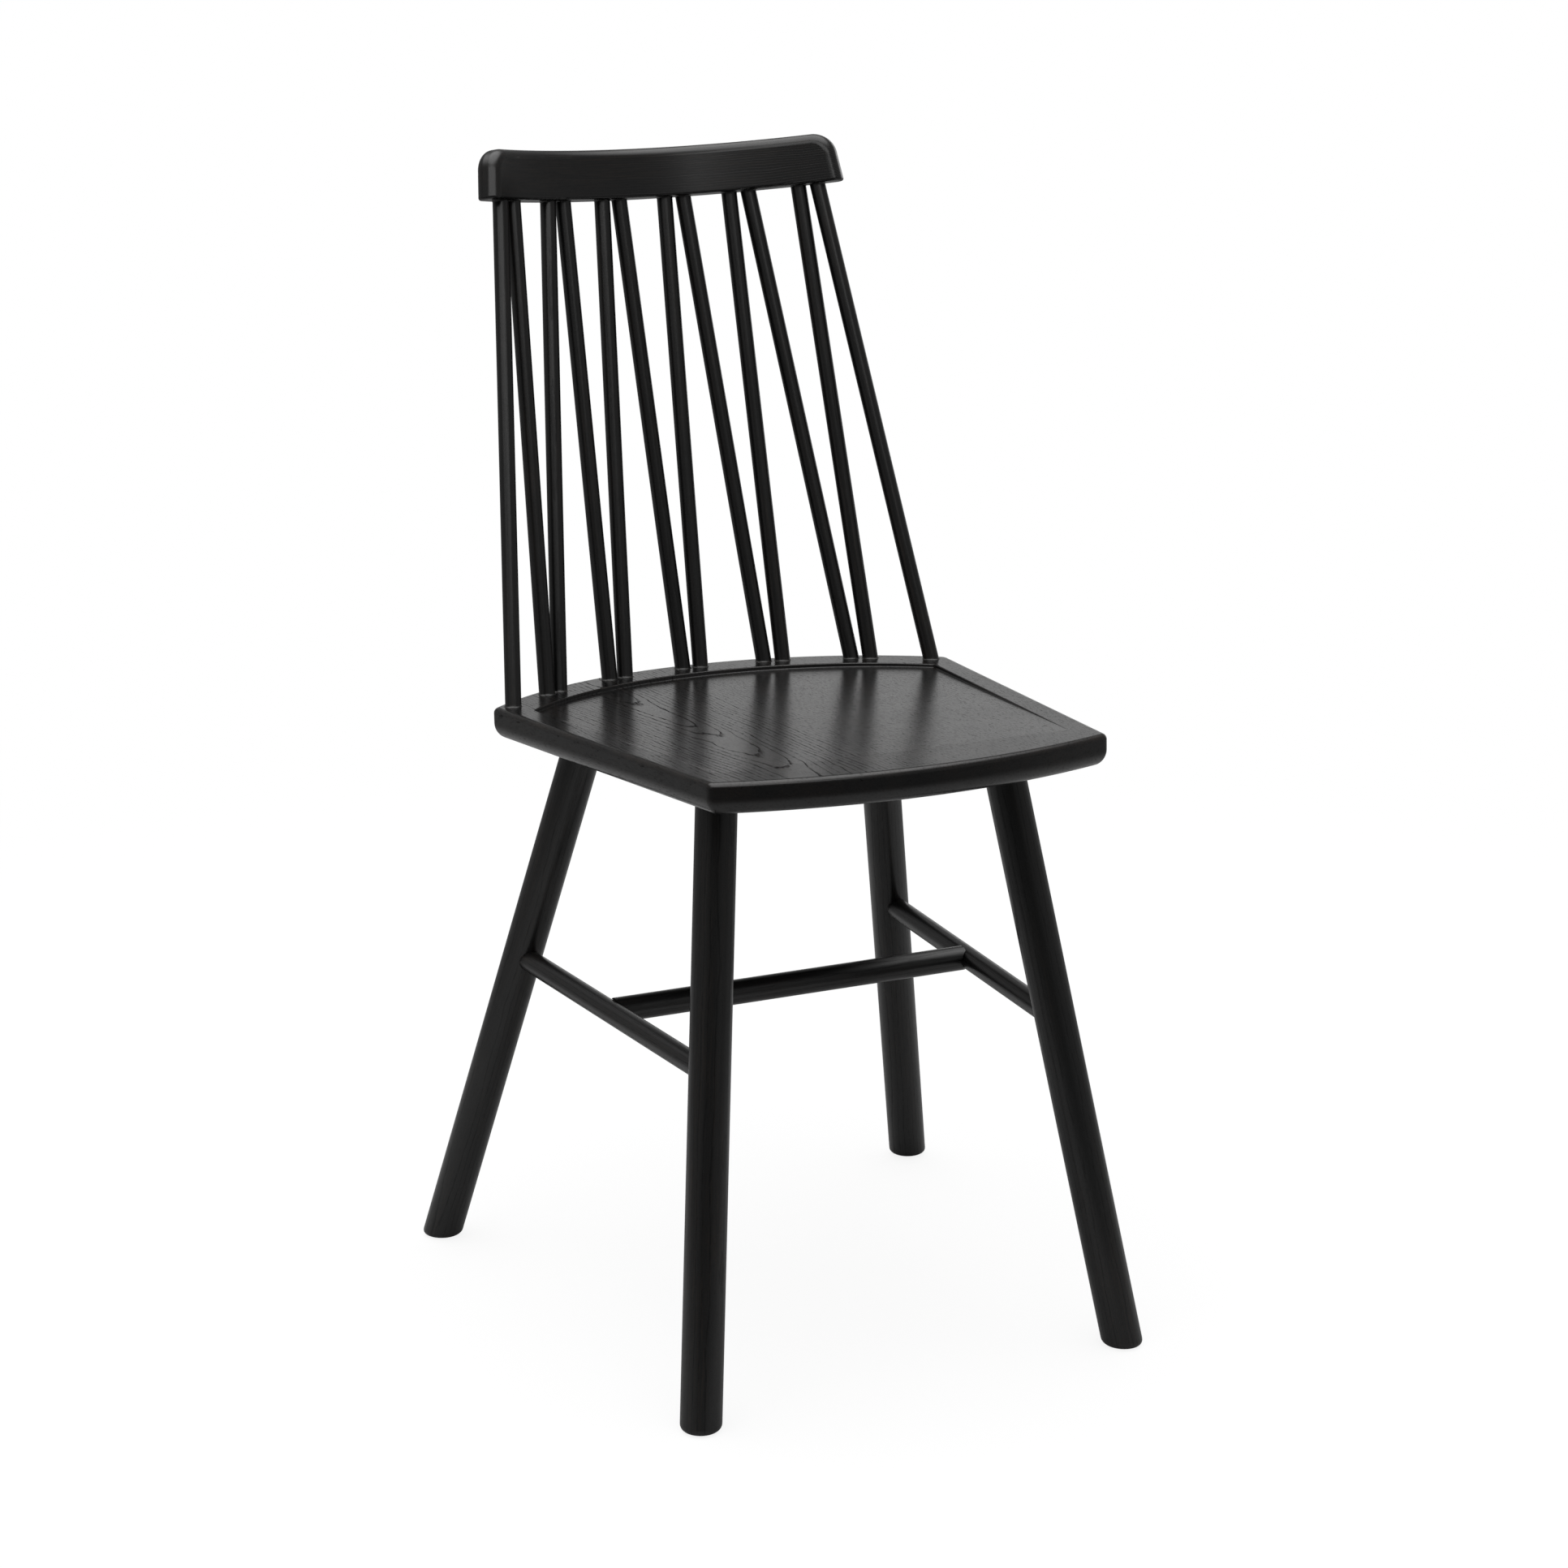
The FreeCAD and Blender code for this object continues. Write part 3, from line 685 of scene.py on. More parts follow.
def seat_rings():
    """The seat's rings, each with its share of wear, from under its middle round the edge to its top."""
    seat = settings().seat
    board = Plan(
        (seat.front_reach, seat.front_radius, seat.front_corner),
        (seat.rear_reach, seat.rear_radius, seat.rear_corner),
        seat.half_width, seat.side_angle,
    )
    recess_reach = seat.rear_reach - seat.rear_radius + seat.recess_radius
    hollow = Plan(
        (seat.recess_front, NEARLY_STRAIGHT, RECESS_FRONT_CORNER),
        (recess_reach, seat.recess_radius, seat.recess_corner),
        seat.half_width - seat.rim_width / math.cos(seat.side_angle), seat.side_angle,
    )
    fall = seat.recess_depth / (recess_reach + seat.recess_front)
    rings = []

    def add(inset, height, edge=0.0):
        outline = board.ring(inset)
        rings.append((np.c_[outline, np.full(len(outline), height)], edge))

    def add_sunk(inset, depth_share, edge=0.0):
        outline = hollow.ring(inset)
        depth = np.maximum(outline[:, 1] + seat.recess_front, 0.0) * fall
        rings.append((np.c_[outline, -depth * depth_share], edge))

    underside, bottom, top = -seat.thickness, seat.bottom_round, seat.top_round
    add(UNDERSIDE_INSET, underside)
    add(bottom + SEAT_SUPPORT, underside)
    for turn in quarter(BOTTOM_STEPS):
        add(bottom * (1 - math.sin(turn)), underside + bottom * (1 - math.cos(turn)), BOTTOM_WEAR)
    add(0.0, underside + bottom + SEAT_SUPPORT)
    add(0.0, -top - SEAT_SUPPORT)
    for turn in quarter(TOP_STEPS):
        add(top * (1 - math.cos(turn)), top * (math.sin(turn) - 1), math.sin(2 * turn))
    add(top + SEAT_SUPPORT, 0.0)
    lip, cove = seat.lip_round, seat.cove_round
    lip_share, cove_share = lip / seat.recess_depth, cove / seat.recess_depth
    add_sunk(-lip - SEAT_SUPPORT, 0.0)
    for turn in quarter(LIP_STEPS):
        add_sunk(lip * (math.sin(turn) - 1), lip_share * (1 - math.cos(turn)), math.sin(2 * turn))
    for turn in quarter(LIP_STEPS):
        add_sunk(LIP_DRAFT + cove * (1 - math.cos(turn)), 1 - cove_share * (1 - math.sin(turn)))
    add_sunk(LIP_DRAFT + cove + SEAT_SUPPORT, 1.0)
    for inset in SUNK_INSETS:
        add_sunk(inset, 1.0)
    return rings


def make_seat_mesh():
    """The seat board's mesh, with its place in the wood kept for the grain."""
    seat = settings().seat
    rings = seat_rings()
    count = len(rings[0][0])
    points = [ring for ring, _ in rings]
    centres = [points[0].mean(axis=0), points[-1].mean(axis=0)]
    flat = np.concatenate(points + [np.array(centres)])
    edges = np.concatenate([np.full(count, edge) for _, edge in rings] + [np.zeros(2)])
    under, over = len(flat) - 2, len(flat) - 1
    last = (len(rings) - 1) * count
    neighbours = [(spot, (spot + 1) % count) for spot in range(count)]
    faces = []
    for low in range(0, last, count):
        high = low + count
        for spot, after in neighbours:
            faces.append((low + spot, low + after, high + after, high + spot))
    for spot, after in neighbours:
        faces.append((under, after, spot))
        faces.append((over, last + spot, last + after))
    sine, cosine = math.sin(seat.slope), math.cos(seat.slope)
    turned = np.c_[
        flat[:, 0],
        flat[:, 1] * cosine + flat[:, 2] * sine + seat.middle,
        flat[:, 2] * cosine - flat[:, 1] * sine + seat.height,
    ]
    mesh = bpy.data.meshes.new("seat_board")
    mesh.from_pydata(turned.tolist(), [], faces)
    mesh.polygons.foreach_set("use_smooth", np.ones(len(mesh.polygons), dtype=bool))
    in_wood = np.ascontiguousarray(flat[:, (0, 2, 1)], dtype=np.float32)
    mesh.attributes.new(GRAIN_PLACE, "FLOAT_VECTOR", "POINT").data.foreach_set("vector", in_wood.ravel())
    mesh.attributes.new(EDGE_MASK, "FLOAT", "POINT").data.foreach_set("value", edges.astype(np.float32))
    mesh.update()
    return mesh


# Finishes

# Sizes of the marks in the wood and the lacquer, in millimetres across and along the grain
LONG_DRIFT, SHORT_DRIFT = (45.0, 130.0), (9.0, 26.0)
FIBRE, CLOUD, FLECK = (0.7, 30.0), (16.0, 160.0), (1.1, 5.0)
HANDLING, GRIT = 55.0, 0.7

# The middle level of a noise
MIDDLE = 0.5

# How far each drift may carry the rings, in multiples of their wander
LONG_REACH, SHORT_REACH = 2.0, 0.45

# Shares of a year over which the open early wood begins and ends, and its least strength in a lean year
EARLY_RISE, EARLY_FALL = (0.0, 0.04), (0.08, 0.3)
LEAN_YEAR = 0.45

# Size of a pore in its cell, how much early wood adds to it, and how soft its edge is
PORE_SIZE, PORE_GROWTH, PORE_EDGE = 0.16, 0.5, (-0.1, 0.06)

# Levels of noise between which flecks and worn stretches set in, and the share of flecks lost in open grain
FLECK_RANGE, WEAR_RANGE, FLECK_LOSS = (0.55, 0.7), (0.35, 0.65), 0.6

# How much each mark adds to the lacquer's film, to the roughness and to the relief
FILM_GRIT, FILM_FIBRE, FILM_HANDLING = 0.3, 0.14, 0.2
ROUGH_HANDLING, ROUGH_PORES = 0.12, 0.2
RELIEF_PORES, RELIEF_RINGS, RELIEF_FIBRE, RELIEF_GRIT = -1.0, -0.3, 0.35, 0.12
RELIEF_STRENGTH = 0.5

# Levels of fibre and cloud between which a pale streak sets in, and how much wear and pores change the stain
STREAK_FIBRE, STREAK_CLOUD = (0.42, 0.72), (0.3, 0.75)
STREAK_WEAR, PORE_STAIN = 0.7, 0.8
LACQUER_IOR = 1.5


def make_wood_group():
    """Growth rings, open pores, fibre and clouding of ring-porous wood, grown about the third axis."""
    sizes = ("Ring Width", "Wander", "Pore Width", "Pore Length", "Openness")
    nodes, given, result = new_group(
        "ShaderNodeTree", WOOD_GROUP, {"Place": VECTOR, **dict.fromkeys(sizes, NUMBER)},
        dict.fromkeys(("Rings", "Pores", "Fibre", "Cloud"), NUMBER),
    )
    calc, vector, ramp = nodes.calc, nodes.vector, nodes.ramp
    spot = vector("SCALE", given["Place"], 1 / MM)
    wander = calc("DIVIDE", given["Wander"], MM)
    off_axis, middle_grey = (1.0, 1.0, 0.0), (MIDDLE, MIDDLE, MIDDLE)

    def drifted(place, size, reach):
        way = vector("SUBTRACT", nodes.noise(nodes.stretched(spot, *size), output="Color"), middle_grey)
        way = vector("MULTIPLY", way, off_axis)
        return vector("ADD", place, vector("SCALE", way, calc("MULTIPLY", wander, reach)))

    grown = drifted(drifted(spot, LONG_DRIFT, LONG_REACH), SHORT_DRIFT, SHORT_REACH)
    from_pith = vector("LENGTH", vector("MULTIPLY", grown, off_axis))
    years = calc("DIVIDE", from_pith, calc("DIVIDE", given["Ring Width"], MM))
    season = calc("FRACT", years)
    year = nodes.add("ShaderNodeTexWhiteNoise", {"W": calc("FLOOR", years)}, noise_dimensions="1D")
    early = calc("MULTIPLY", ramp(season, *EARLY_RISE), ramp(season, *EARLY_FALL, 1.0, 0.0))
    early = calc("MULTIPLY", early, ramp(year.outputs["Value"], 0.0, 1.0, LEAN_YEAR, 1.0))
    early = calc("MULTIPLY", early, given["Openness"])
    fibre = nodes.noise(nodes.stretched(spot, *FIBRE), detail=3.0, roughness=0.6)
    cloud = nodes.noise(nodes.stretched(spot, *CLOUD), detail=3.0)
    pore_width, pore_length = (calc("DIVIDE", given[size], MM) for size in ("Pore Width", "Pore Length"))
    pore_place = vector("DIVIDE", spot, nodes.join(pore_width, pore_width, pore_length))
    cells = nodes.add("ShaderNodeTexVoronoi", {"Vector": pore_place, "Scale": 1.0}, feature="F1")
    size = calc("MULTIPLY_ADD", early, PORE_GROWTH, PORE_SIZE)
    pores = ramp(calc("SUBTRACT", cells.outputs["Distance"], size), *PORE_EDGE, 1.0, 0.0)
    for label, value in (("Rings", early), ("Pores", pores), ("Fibre", fibre), ("Cloud", cloud)):
        nodes.feed(result[label], value)
    return nodes.tree


def make_lacquer_group():
    """Satin lacquer: its film and wear, and the roughness and relief of the wood under it."""
    marks = ("Rings", "Pores", "Fibre", "Roughness", "Edge", "Pore Break", "Ring Break", "Fleck Break")
    nodes, given, result = new_group(
        "ShaderNodeTree", LACQUER_GROUP, {"Place": VECTOR, **dict.fromkeys(marks, NUMBER)},
        dict.fromkeys(("Film", "Roughness", "Relief", "Wear"), NUMBER),
    )
    calc, vector = nodes.calc, nodes.vector
    rings, pores, fibre = given["Rings"], given["Pores"], given["Fibre"]
    spot = vector("SCALE", given["Place"], 1 / MM)
    handling = nodes.noise(vector("SCALE", spot, 1 / HANDLING), detail=3.0, roughness=0.6)
    grit = nodes.noise(vector("SCALE", spot, 1 / GRIT))
    fleck = nodes.ramp(nodes.noise(nodes.stretched(spot, *FLECK), detail=1.0), *FLECK_RANGE)
    wear = calc("MULTIPLY", given["Edge"], nodes.ramp(handling, *WEAR_RANGE))
    film = 1.0
    for mark, depth in ((pores, "Pore Break"), (fleck, "Fleck Break"), (rings, "Ring Break")):
        film = calc("SUBTRACT", film, calc("MULTIPLY", mark, given[depth]))
    for mark, gain in ((grit, FILM_GRIT), (fibre, FILM_FIBRE), (handling, FILM_HANDLING)):
        film = calc("MULTIPLY_ADD", calc("SUBTRACT", mark, MIDDLE), gain, film)
    rough = calc("MULTIPLY_ADD", calc("SUBTRACT", handling, MIDDLE), ROUGH_HANDLING, given["Roughness"])
    rough = calc("MULTIPLY_ADD", pores, ROUGH_PORES, rough)
    relief = 0.0
    for mark, gain in (
        (pores, RELIEF_PORES), (rings, RELIEF_RINGS), (fibre, RELIEF_FIBRE), (grit, RELIEF_GRIT)
    ):
        relief = calc("MULTIPLY_ADD", mark, gain, relief)
    for label, value in (("Film", film), ("Roughness", rough), ("Relief", relief), ("Wear", wear)):
        nodes.feed(result[label], value)
    return nodes.tree


def new_material(name):
    """An empty material, its nodes and its shader."""
    material = bpy.data.materials.new(name)
    nodes = blank_nodes(material)
    shader = nodes.add("ShaderNodeBsdfPrincipled")
    nodes.add("ShaderNodeOutputMaterial", {"Surface": shader.outputs[0]})
    return material, nodes, shader


def add_relief(nodes, shader, height, strength, depth):
    """Bumps a shader's surface."""
    bump = nodes.add("ShaderNodeBump", {"Height": height, "Strength": strength, "Distance": depth})
    nodes.feed(shader.inputs["Normal"], bump.outputs[0])


def piece_place(nodes):
    """The place in the wood that a piece keeps for its grain."""
    return nodes.attribute(GRAIN_PLACE, "Vector")


def board_place(nodes):
    """The seat's place in the wood: a board sawn beside the pith, which runs up towards the back."""
    off_pith, tilt = (0.086, 0.022, 0.3), math.radians(2.3)
    return nodes.turned(piece_place(nodes), (tilt, 0.0, 0.0), off_pith)


def board_openness(nodes):
    """How open the seat's grain is: open on the left, about the pith, close on the right and at the edge."""
    left, right, close = -60 * MM, 50 * MM, 0.3
    low, high, edge, edge_grain = -6 * MM, -3.6 * MM, 0.4, 0.2
    place = nodes.split(piece_place(nodes))
    across = nodes.ramp(place["X"], left, right, 1.0, close)
    inside = nodes.ramp(nodes.attribute(EDGE_MASK, "Fac"), 0.0, edge, 1.0, edge_grain)
    on_top = nodes.ramp(place["Y"], low, high, edge_grain, 1.0)
    return nodes.calc("MULTIPLY", across, nodes.calc("MULTIPLY", inside, on_top))


def crest_place(nodes):
    """The crest's place in the wood, beside the pith, with the grain running round its arc."""
    pith_in_front, pith_below = 30 * MM, 20 * MM
    calc, sticks = nodes.calc, settings().sticks
    radius = sticks.crest_radius
    point, _ = crest_plane()
    centred = nodes.vector("SUBTRACT", nodes.object_place(), tuple(point))
    upright = nodes.split(nodes.turned(centred, (sticks.crest_lean, 0.0, 0.0)))
    from_hub = calc("ADD", upright["Y"], radius)
    squares = calc("ADD", calc("POWER", upright["X"], 2.0), calc("POWER", from_hub, 2.0))
    turn = calc("ARCTAN2", upright["X"], from_hub)
    return nodes.join(
        calc("SUBTRACT", calc("SQRT", squares), radius - pith_in_front),
        calc("ADD", upright["Z"], pith_below),
        calc("MULTIPLY", turn, radius),
    )


def crest_openness(nodes):
    """How open the crest's grain is: close on the left and open on the right."""
    left, right, close, wide = -60 * MM, 100 * MM, 0.1, 0.9
    return nodes.ramp(nodes.split(nodes.object_place())["X"], left, right, close, wide)


def crossways_place(nodes):
    """The place in the wood of a piece whose grain runs from side to side."""
    off_pith = (0.27, 0.06, 0.0)
    return nodes.turned(nodes.object_place(), (0.0, -QUARTER_TURN, 0.0), off_pith)


def stained_wood(
    name, find_place, gloss, wander=4.0, ring_scale=1.0, find_openness=None, pore_break=0.16, ring_break=0.1,
    fleck_break=0.1, glint=0.0
):
    """Black stained, lacquered wood whose grain follows a piece. Wander is in millimetres."""
    finish = settings().finish
    material, nodes, shader = new_material(name)
    calc, ramp, blend = nodes.calc, nodes.ramp, nodes.blend
    place = find_place(nodes)
    openness = find_openness(nodes) if find_openness else 1.0
    wood = nodes.group(shared_tree(WOOD_GROUP, make_wood_group), {
        "Place": place, "Ring Width": finish.ring_width * ring_scale, "Wander": wander * MM,
        "Pore Width": finish.pore_width, "Pore Length": finish.pore_length, "Openness": openness,
    })
    lacquer = nodes.group(shared_tree(LACQUER_GROUP, make_lacquer_group), {
        "Place": place, "Rings": wood["Rings"], "Pores": wood["Pores"], "Fibre": wood["Fibre"],
        "Roughness": finish.wood_roughness, "Edge": nodes.attribute(EDGE_MASK, "Fac"),
        "Pore Break": pore_break, "Ring Break": ring_break,
        "Fleck Break": calc("MULTIPLY_ADD", openness, -FLECK_LOSS * fleck_break, fleck_break),
    })
    streak = calc("MULTIPLY", ramp(wood["Fibre"], *STREAK_FIBRE), ramp(wood["Cloud"], *STREAK_CLOUD))
    streak = calc("MAXIMUM", streak, calc("MULTIPLY", lacquer["Wear"], STREAK_WEAR))
    tone = blend(streak, opaque(finish.stain), opaque(finish.stain_streak))
    tone = blend(calc("MULTIPLY", wood["Pores"], PORE_STAIN), tone, opaque(finish.pore_colour))
    tone = blend(calc("MULTIPLY", wood["Rings"], glint), tone, opaque(finish.glint))
    nodes.feed(shader.inputs["Base Color"], tone)
    nodes.feed(shader.inputs["Roughness"], lacquer["Roughness"])
    nodes.feed(shader.inputs["Coat Weight"], lacquer["Film"])
    shader.inputs["Coat Roughness"].default_value = gloss
    shader.inputs["Coat IOR"].default_value = LACQUER_IOR
    shader.inputs["Specular IOR Level"].default_value = 0.0
    add_relief(nodes, shader, lacquer["Relief"], RELIEF_STRENGTH, finish.pore_depth)
    return material


def glide_plastic():
    """Matt moulded plastic with a fine grit and paler scuffs. The sizes of both are in millimetres."""
    grit_size, grit_strength, grit_depth, grit_range = 0.35, 0.3, 0.05 * MM, (0.2, 0.8)
    scuff_width, scuff_length, scuff_range, scuff_tone = 0.6, 7.0, (0.5, 0.8), 2.4
    smooth, rough = 0.48, 0.68
    glide = settings().finish.glide
    material, nodes, shader = new_material("glide_plastic")
    place = nodes.vector("SCALE", nodes.object_place(), 1 / MM)
    grit = nodes.noise(nodes.vector("SCALE", place, 1 / grit_size), detail=3.0)
    scuff_steps = (1 / scuff_width, 1 / scuff_length, 1 / scuff_width)
    scuff = nodes.ramp(nodes.noise(nodes.vector("MULTIPLY", place, scuff_steps), detail=3.0), *scuff_range)
    nodes.feed(shader.inputs["Base Color"], nodes.blend(scuff, opaque(glide), opaque(glide, scuff_tone)))
    nodes.feed(shader.inputs["Roughness"], nodes.ramp(grit, *grit_range, smooth, rough))
    add_relief(nodes, shader, grit, grit_strength, grit_depth)
    return material


def dress_solid(name, material):
    """Gives a solid that stays in the scene its finish."""
    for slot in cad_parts[name].material_slots:
        slot.material = material


# Stage

# The level direction from the chair to the side of the room where the camera stands
CAMERA_SIDE = (-0.43, -0.903, 0.0)


def make_floor():
    """A pale floor that keeps a faint shadow and runs out into the white backdrop; in reflections and
    bounced light it is dimmer, with painted shade that deepens away from the chair and towards the camera.
    """
    mottle_scale, mottle_tone = 9.0, 0.97
    shadow_reach, shadow_white = (0.35, 1.6), 0.87
    dim_reach, far_shade_level = (0.6, 1.5), 0.5
    front_reach, front_shade_level = (0.5, 1.4), 0.4
    stage = settings().stage
    half = stage.floor_size / 2
    mesh = bpy.data.meshes.new("floor")
    corners = [(-half, -half, 0), (half, -half, 0), (half, half, 0), (-half, half, 0)]
    mesh.from_pydata(corners, [], [(0, 1, 2, 3)])
    material = bpy.data.materials.new("floor_paint")
    nodes = blank_nodes(material)
    calc, vector, ramp, blend = nodes.calc, nodes.vector, nodes.ramp, nodes.blend
    place, seen = nodes.object_place(), nodes.camera_ray()
    from_chair = vector("LENGTH", place)
    forwards = vector("DOT_PRODUCT", place, CAMERA_SIDE)
    mottle = nodes.noise(vector("SCALE", place, mottle_scale), detail=4.0)
    tone = blend(mottle, opaque(stage.floor, mottle_tone), opaque(stage.floor))
    # Painted shade: in reflections and bounced light the floor grows darker away from the chair and towards
    # the camera's side, standing in for the dim studio around the chair
    kept = ramp(from_chair, *dim_reach, 1.0, far_shade_level)
    kept = calc("MULTIPLY", kept, ramp(forwards, *front_reach, 1.0, front_shade_level))
    bounce = vector("SCALE", tuple(stage.floor_bounce), kept)
    paint = nodes.add("ShaderNodeBsdfDiffuse", {"Color": blend(seen, bounce, tone)})
    white_share = calc("MULTIPLY", seen, ramp(from_chair, *shadow_reach, shadow_white, 1.0))
    white = nodes.add("ShaderNodeEmission")
    nodes.end_in_mix("ShaderNodeOutputMaterial", white_share, paint, white)
    mesh.materials.append(material)
    new_object("floor", mesh)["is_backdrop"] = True


def make_world():
    """White to the camera, else a studio: dim walls, a dark front, a pale backdrop and light overhead."""
    dark_side, backdrop_side, over_side = (0.69, 0.95), (0.74, 0.995), (0.62, 0.93)
    backdrop_top, over_aim = 0.32, Vector((-0.05, 0.05, 1.0)).normalized()
    white_colour = {"Color": (1.0, 1.0, 1.0, 1.0)}
    stage = settings().stage
    world = bpy.data.worlds.new("studio")
    nodes = blank_nodes(world)
    calc, vector, ramp = nodes.calc, nodes.vector, nodes.ramp
    heading = nodes.add("ShaderNodeTexCoord").outputs["Generated"]

    def facing(aim, side, away, ahead):
        return ramp(vector("DOT_PRODUCT", heading, tuple(aim)), *side, away, ahead)

    back_aim = (math.sin(stage.backdrop_turn), math.cos(stage.backdrop_turn), 0.0)
    walls = facing(CAMERA_SIDE, dark_side, stage.wall_light, stage.dark_light)
    backdrop = facing(back_aim, backdrop_side, 0.0, stage.back_light)
    backdrop = calc("MULTIPLY", backdrop, ramp(nodes.split(heading)["Z"], 0.0, backdrop_top, 1.0, 0.0))
    overhead = facing(over_aim, over_side, 0.0, stage.over_light)
    level = calc("ADD", calc("ADD", walls, backdrop), overhead)
    studio = nodes.add("ShaderNodeBackground", {"Strength": level, **white_colour})
    white = nodes.add("ShaderNodeBackground", white_colour)
    nodes.end_in_mix("ShaderNodeOutputWorld", nodes.camera_ray(), studio, white)
    bpy.context.scene.world = world


def add_front_lamp():
    """The long soft lamp above the camera, aimed at the seat."""
    stage = settings().stage
    light = bpy.data.lights.new("front_lamp", "AREA")
    light.shape, light.energy = "RECTANGLE", stage.front_lamp
    light.size, light.size_y = stage.lamp_width, stage.lamp_height
    lamp = new_object("front_lamp", light)
    lamp.location = stage.lamp_place
    aim = Vector((0.0, 0.0, settings().seat.height)) - Vector(stage.lamp_place)
    lamp.rotation_euler = aim.to_track_quat("-Z", "Y").to_euler()


def add_camera():
    """The camera at the photograph's viewing angle."""
    stage = settings().stage
    lens = bpy.data.cameras.new("camera")
    lens.lens, lens.sensor_width = stage.camera_lens, stage.camera_sensor
    camera = new_object("camera", lens)
    camera.location = stage.camera_place
    camera.rotation_euler = (QUARTER_TURN - stage.camera_pitch, 0.0, -stage.camera_turn)
    bpy.context.scene.camera = camera


# Operators


class CHAIR_OT_seat(Operator):
    """Make the seat board with its sunk surface"""

    bl_idname = "chair.seat"
    bl_label = "Seat board"

    def execute(self, context):
        mesh = make_seat_mesh()
        mesh.materials.append(stained_wood(
            "seat_stain", board_place, settings().finish.lacquer_roughness, wander=5.0,
            find_openness=board_openness, pore_break=0.78, ring_break=0.22, fleck_break=0.32,
        ))
        place_piece(mesh, "seat_board", "seat")
        return {"FINISHED"}


class CHAIR_OT_crest(Operator):
    """Finish the bent crest rail"""

    bl_idname = "chair.crest"
    bl_label = "Crest rail"

    def execute(self, context):
        dress_solid("crest_rail", stained_wood(
            "crest_stain", crest_place, settings().finish.crest_roughness, wander=3.0, ring_scale=0.5,
            find_openness=crest_openness, pore_break=0.1, ring_break=0.0, glint=0.9,
        ))
        return {"FINISHED"}


class CHAIR_OT_spindles(Operator):
    """Make the back spindles between the seat and the crest"""

    bl_idname = "chair.spindles"
    bl_label = "Back spindles"

    def execute(self, context):
        sticks = settings().sticks
        radius, fillet = sticks.spindle / 2, -sticks.lacquer_fillet
        gloss = settings().finish.stick_roughness
        material = stained_wood("spindle_stain", piece_place, gloss, wander=1.5, ring_scale=0.7)
        seat_point, seat_up = seat_plane(0.0)
        crest_point, crest_up = crest_plane()
        for number, name in enumerate(SPINDLES):
            start, end = bar_ends(name)
            foot = meet_plane(start, end, seat_point, seat_up)
            head = meet_plane(start, end, crest_point, crest_up)
            make_stick(
                name, material, radius,
                StickEnd(foot, seat_up, fillet, radius, distance(start, foot)),
                StickEnd(head, crest_up, fillet, radius, distance(head, end)),
                SPINDLE_CUT, number,
            )
        return {"FINISHED"}


class CHAIR_OT_legs(Operator):
    """Make the four legs, from the glides to the underside of the seat"""

    bl_idname = "chair.legs"
    bl_label = "Legs"

    def execute(self, context):
        sticks = settings().sticks
        radius, foot_round = sticks.leg / 2, sticks.foot_round
        material = stained_wood("leg_stain", piece_place, settings().finish.stick_roughness, wander=3.0)
        seat_point, seat_up = seat_plane(settings().seat.thickness)
        for number, corner in enumerate(CORNERS):
            foot, top = leg_ends(corner)
            head = meet_plane(foot, top, seat_point, seat_up)
            make_stick(
                corner + "_leg", material, radius,
                StickEnd(foot, UP, foot_round, radius - foot_round),
                StickEnd(head, seat_up, -sticks.lacquer_fillet, sticks.leg_tenon / 2, distance(head, top)),
                LEG_CUT, number,
            )
        return {"FINISHED"}


class CHAIR_OT_stretchers(Operator):
    """Make the side stretchers and finish the cross stretcher"""

    bl_idname = "chair.stretchers"
    bl_label = "Stretchers"

    def execute(self, context):
        radius = settings().sticks.side_stretcher / 2
        gloss = settings().finish.stick_roughness
        material = stained_wood("stretcher_stain", piece_place, gloss, wander=2.0, ring_scale=0.8)
        for number, name in enumerate(("right_side_stretcher", "left_side_stretcher")):
            front, rear = bar_ends(name)
            make_stick(
                name, material, radius,
                StickEnd(front, rear - front, 0.0, radius), StickEnd(rear, rear - front, 0.0, radius),
                STRETCHER_CUT, number,
            )
        dress_solid("cross_stretcher", stained_wood(
            "cross_stretcher_stain", crossways_place, gloss, wander=2.0, ring_scale=0.8
        ))
        return {"FINISHED"}


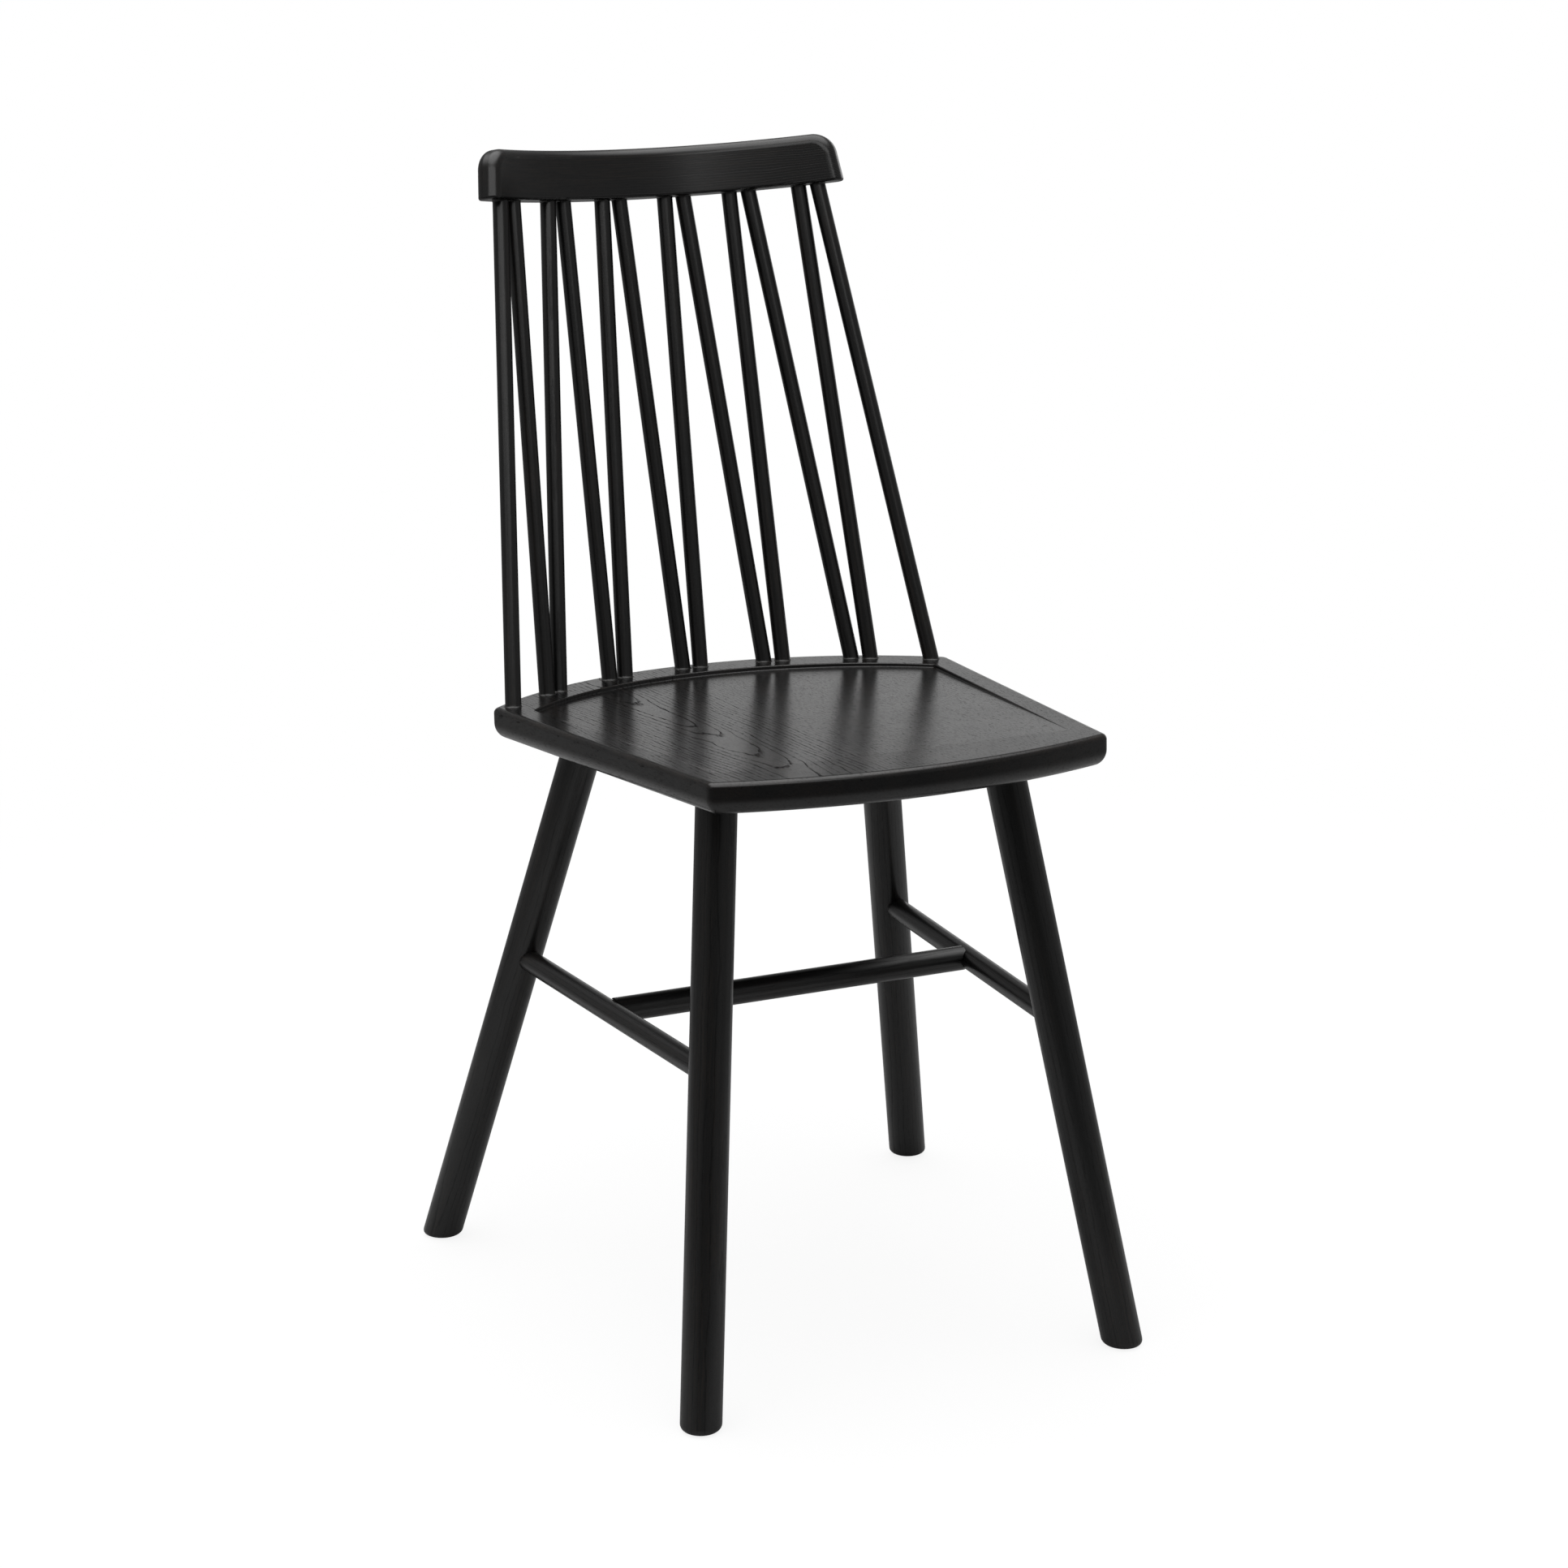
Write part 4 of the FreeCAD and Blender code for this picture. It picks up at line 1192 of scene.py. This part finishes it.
class CHAIR_OT_glides(Operator):
    """Finish the glides under the feet"""

    bl_idname = "chair.glides"
    bl_label = "Foot glides"

    def execute(self, context):
        material = glide_plastic()
        for corner in CORNERS:
            dress_solid(corner + "_glide", material)
        return {"FINISHED"}


class CHAIR_OT_stage(Operator):
    """Set up the floor, the light and the camera"""

    bl_idname = "chair.stage"
    bl_label = "Floor, light and camera"

    def execute(self, context):
        make_floor()
        make_world()
        add_front_lamp()
        add_camera()
        context.scene.view_settings.view_transform = "Standard"
        return {"FINISHED"}


OPERATORS = (
    CHAIR_OT_seat, CHAIR_OT_crest, CHAIR_OT_spindles, CHAIR_OT_legs, CHAIR_OT_stretchers, CHAIR_OT_glides,
    CHAIR_OT_stage,
)


class CHAIR_PT_panel(Panel):
    """Lists the chair's pieces and their settings"""

    bl_idname = "CHAIR_PT_panel"
    bl_label = "Stick-back chair"
    bl_space_type = "VIEW_3D"
    bl_region_type = "UI"
    bl_category = "Chair"

    def draw(self, context):
        chair = context.scene.stick_back_chair
        for operator in OPERATORS:
            self.layout.operator(operator.bl_idname)
        for group in (chair.seat, chair.sticks, chair.finish, chair.stage):
            box = self.layout.box()
            for name in group.__annotations__:
                box.prop(group, name)


SETTINGS = (SeatSettings, StickSettings, FinishSettings, StageSettings, ChairSettings)
CLASSES = (*SETTINGS, *OPERATORS, CHAIR_PT_panel)


def register():
    """Makes the chair's settings, operators and panel known."""
    for item in CLASSES:
        bpy.utils.register_class(item)
    bpy.types.Scene.stick_back_chair = PointerProperty(type=ChairSettings)


def unregister():
    """Takes the chair's settings, operators and panel away again."""
    del bpy.types.Scene.stick_back_chair
    for item in reversed(CLASSES):
        bpy.utils.unregister_class(item)


def main():
    """Makes every piece and the stage, and works out the boxes of the solids and of the dressed chair."""
    register()
    bpy.ops.chair.seat()
    bpy.ops.chair.crest()
    bpy.ops.chair.spindles()
    bpy.ops.chair.legs()
    bpy.ops.chair.stretchers()
    bpy.ops.chair.glides()
    bpy.ops.chair.stage()
    boxes = {"cad": CAD_BOX, "visual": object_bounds()}
    plain = {name: [[float(part) for part in corner] for corner in box] for name, box in boxes.items()}


if __name__ == "__main__":
    main()
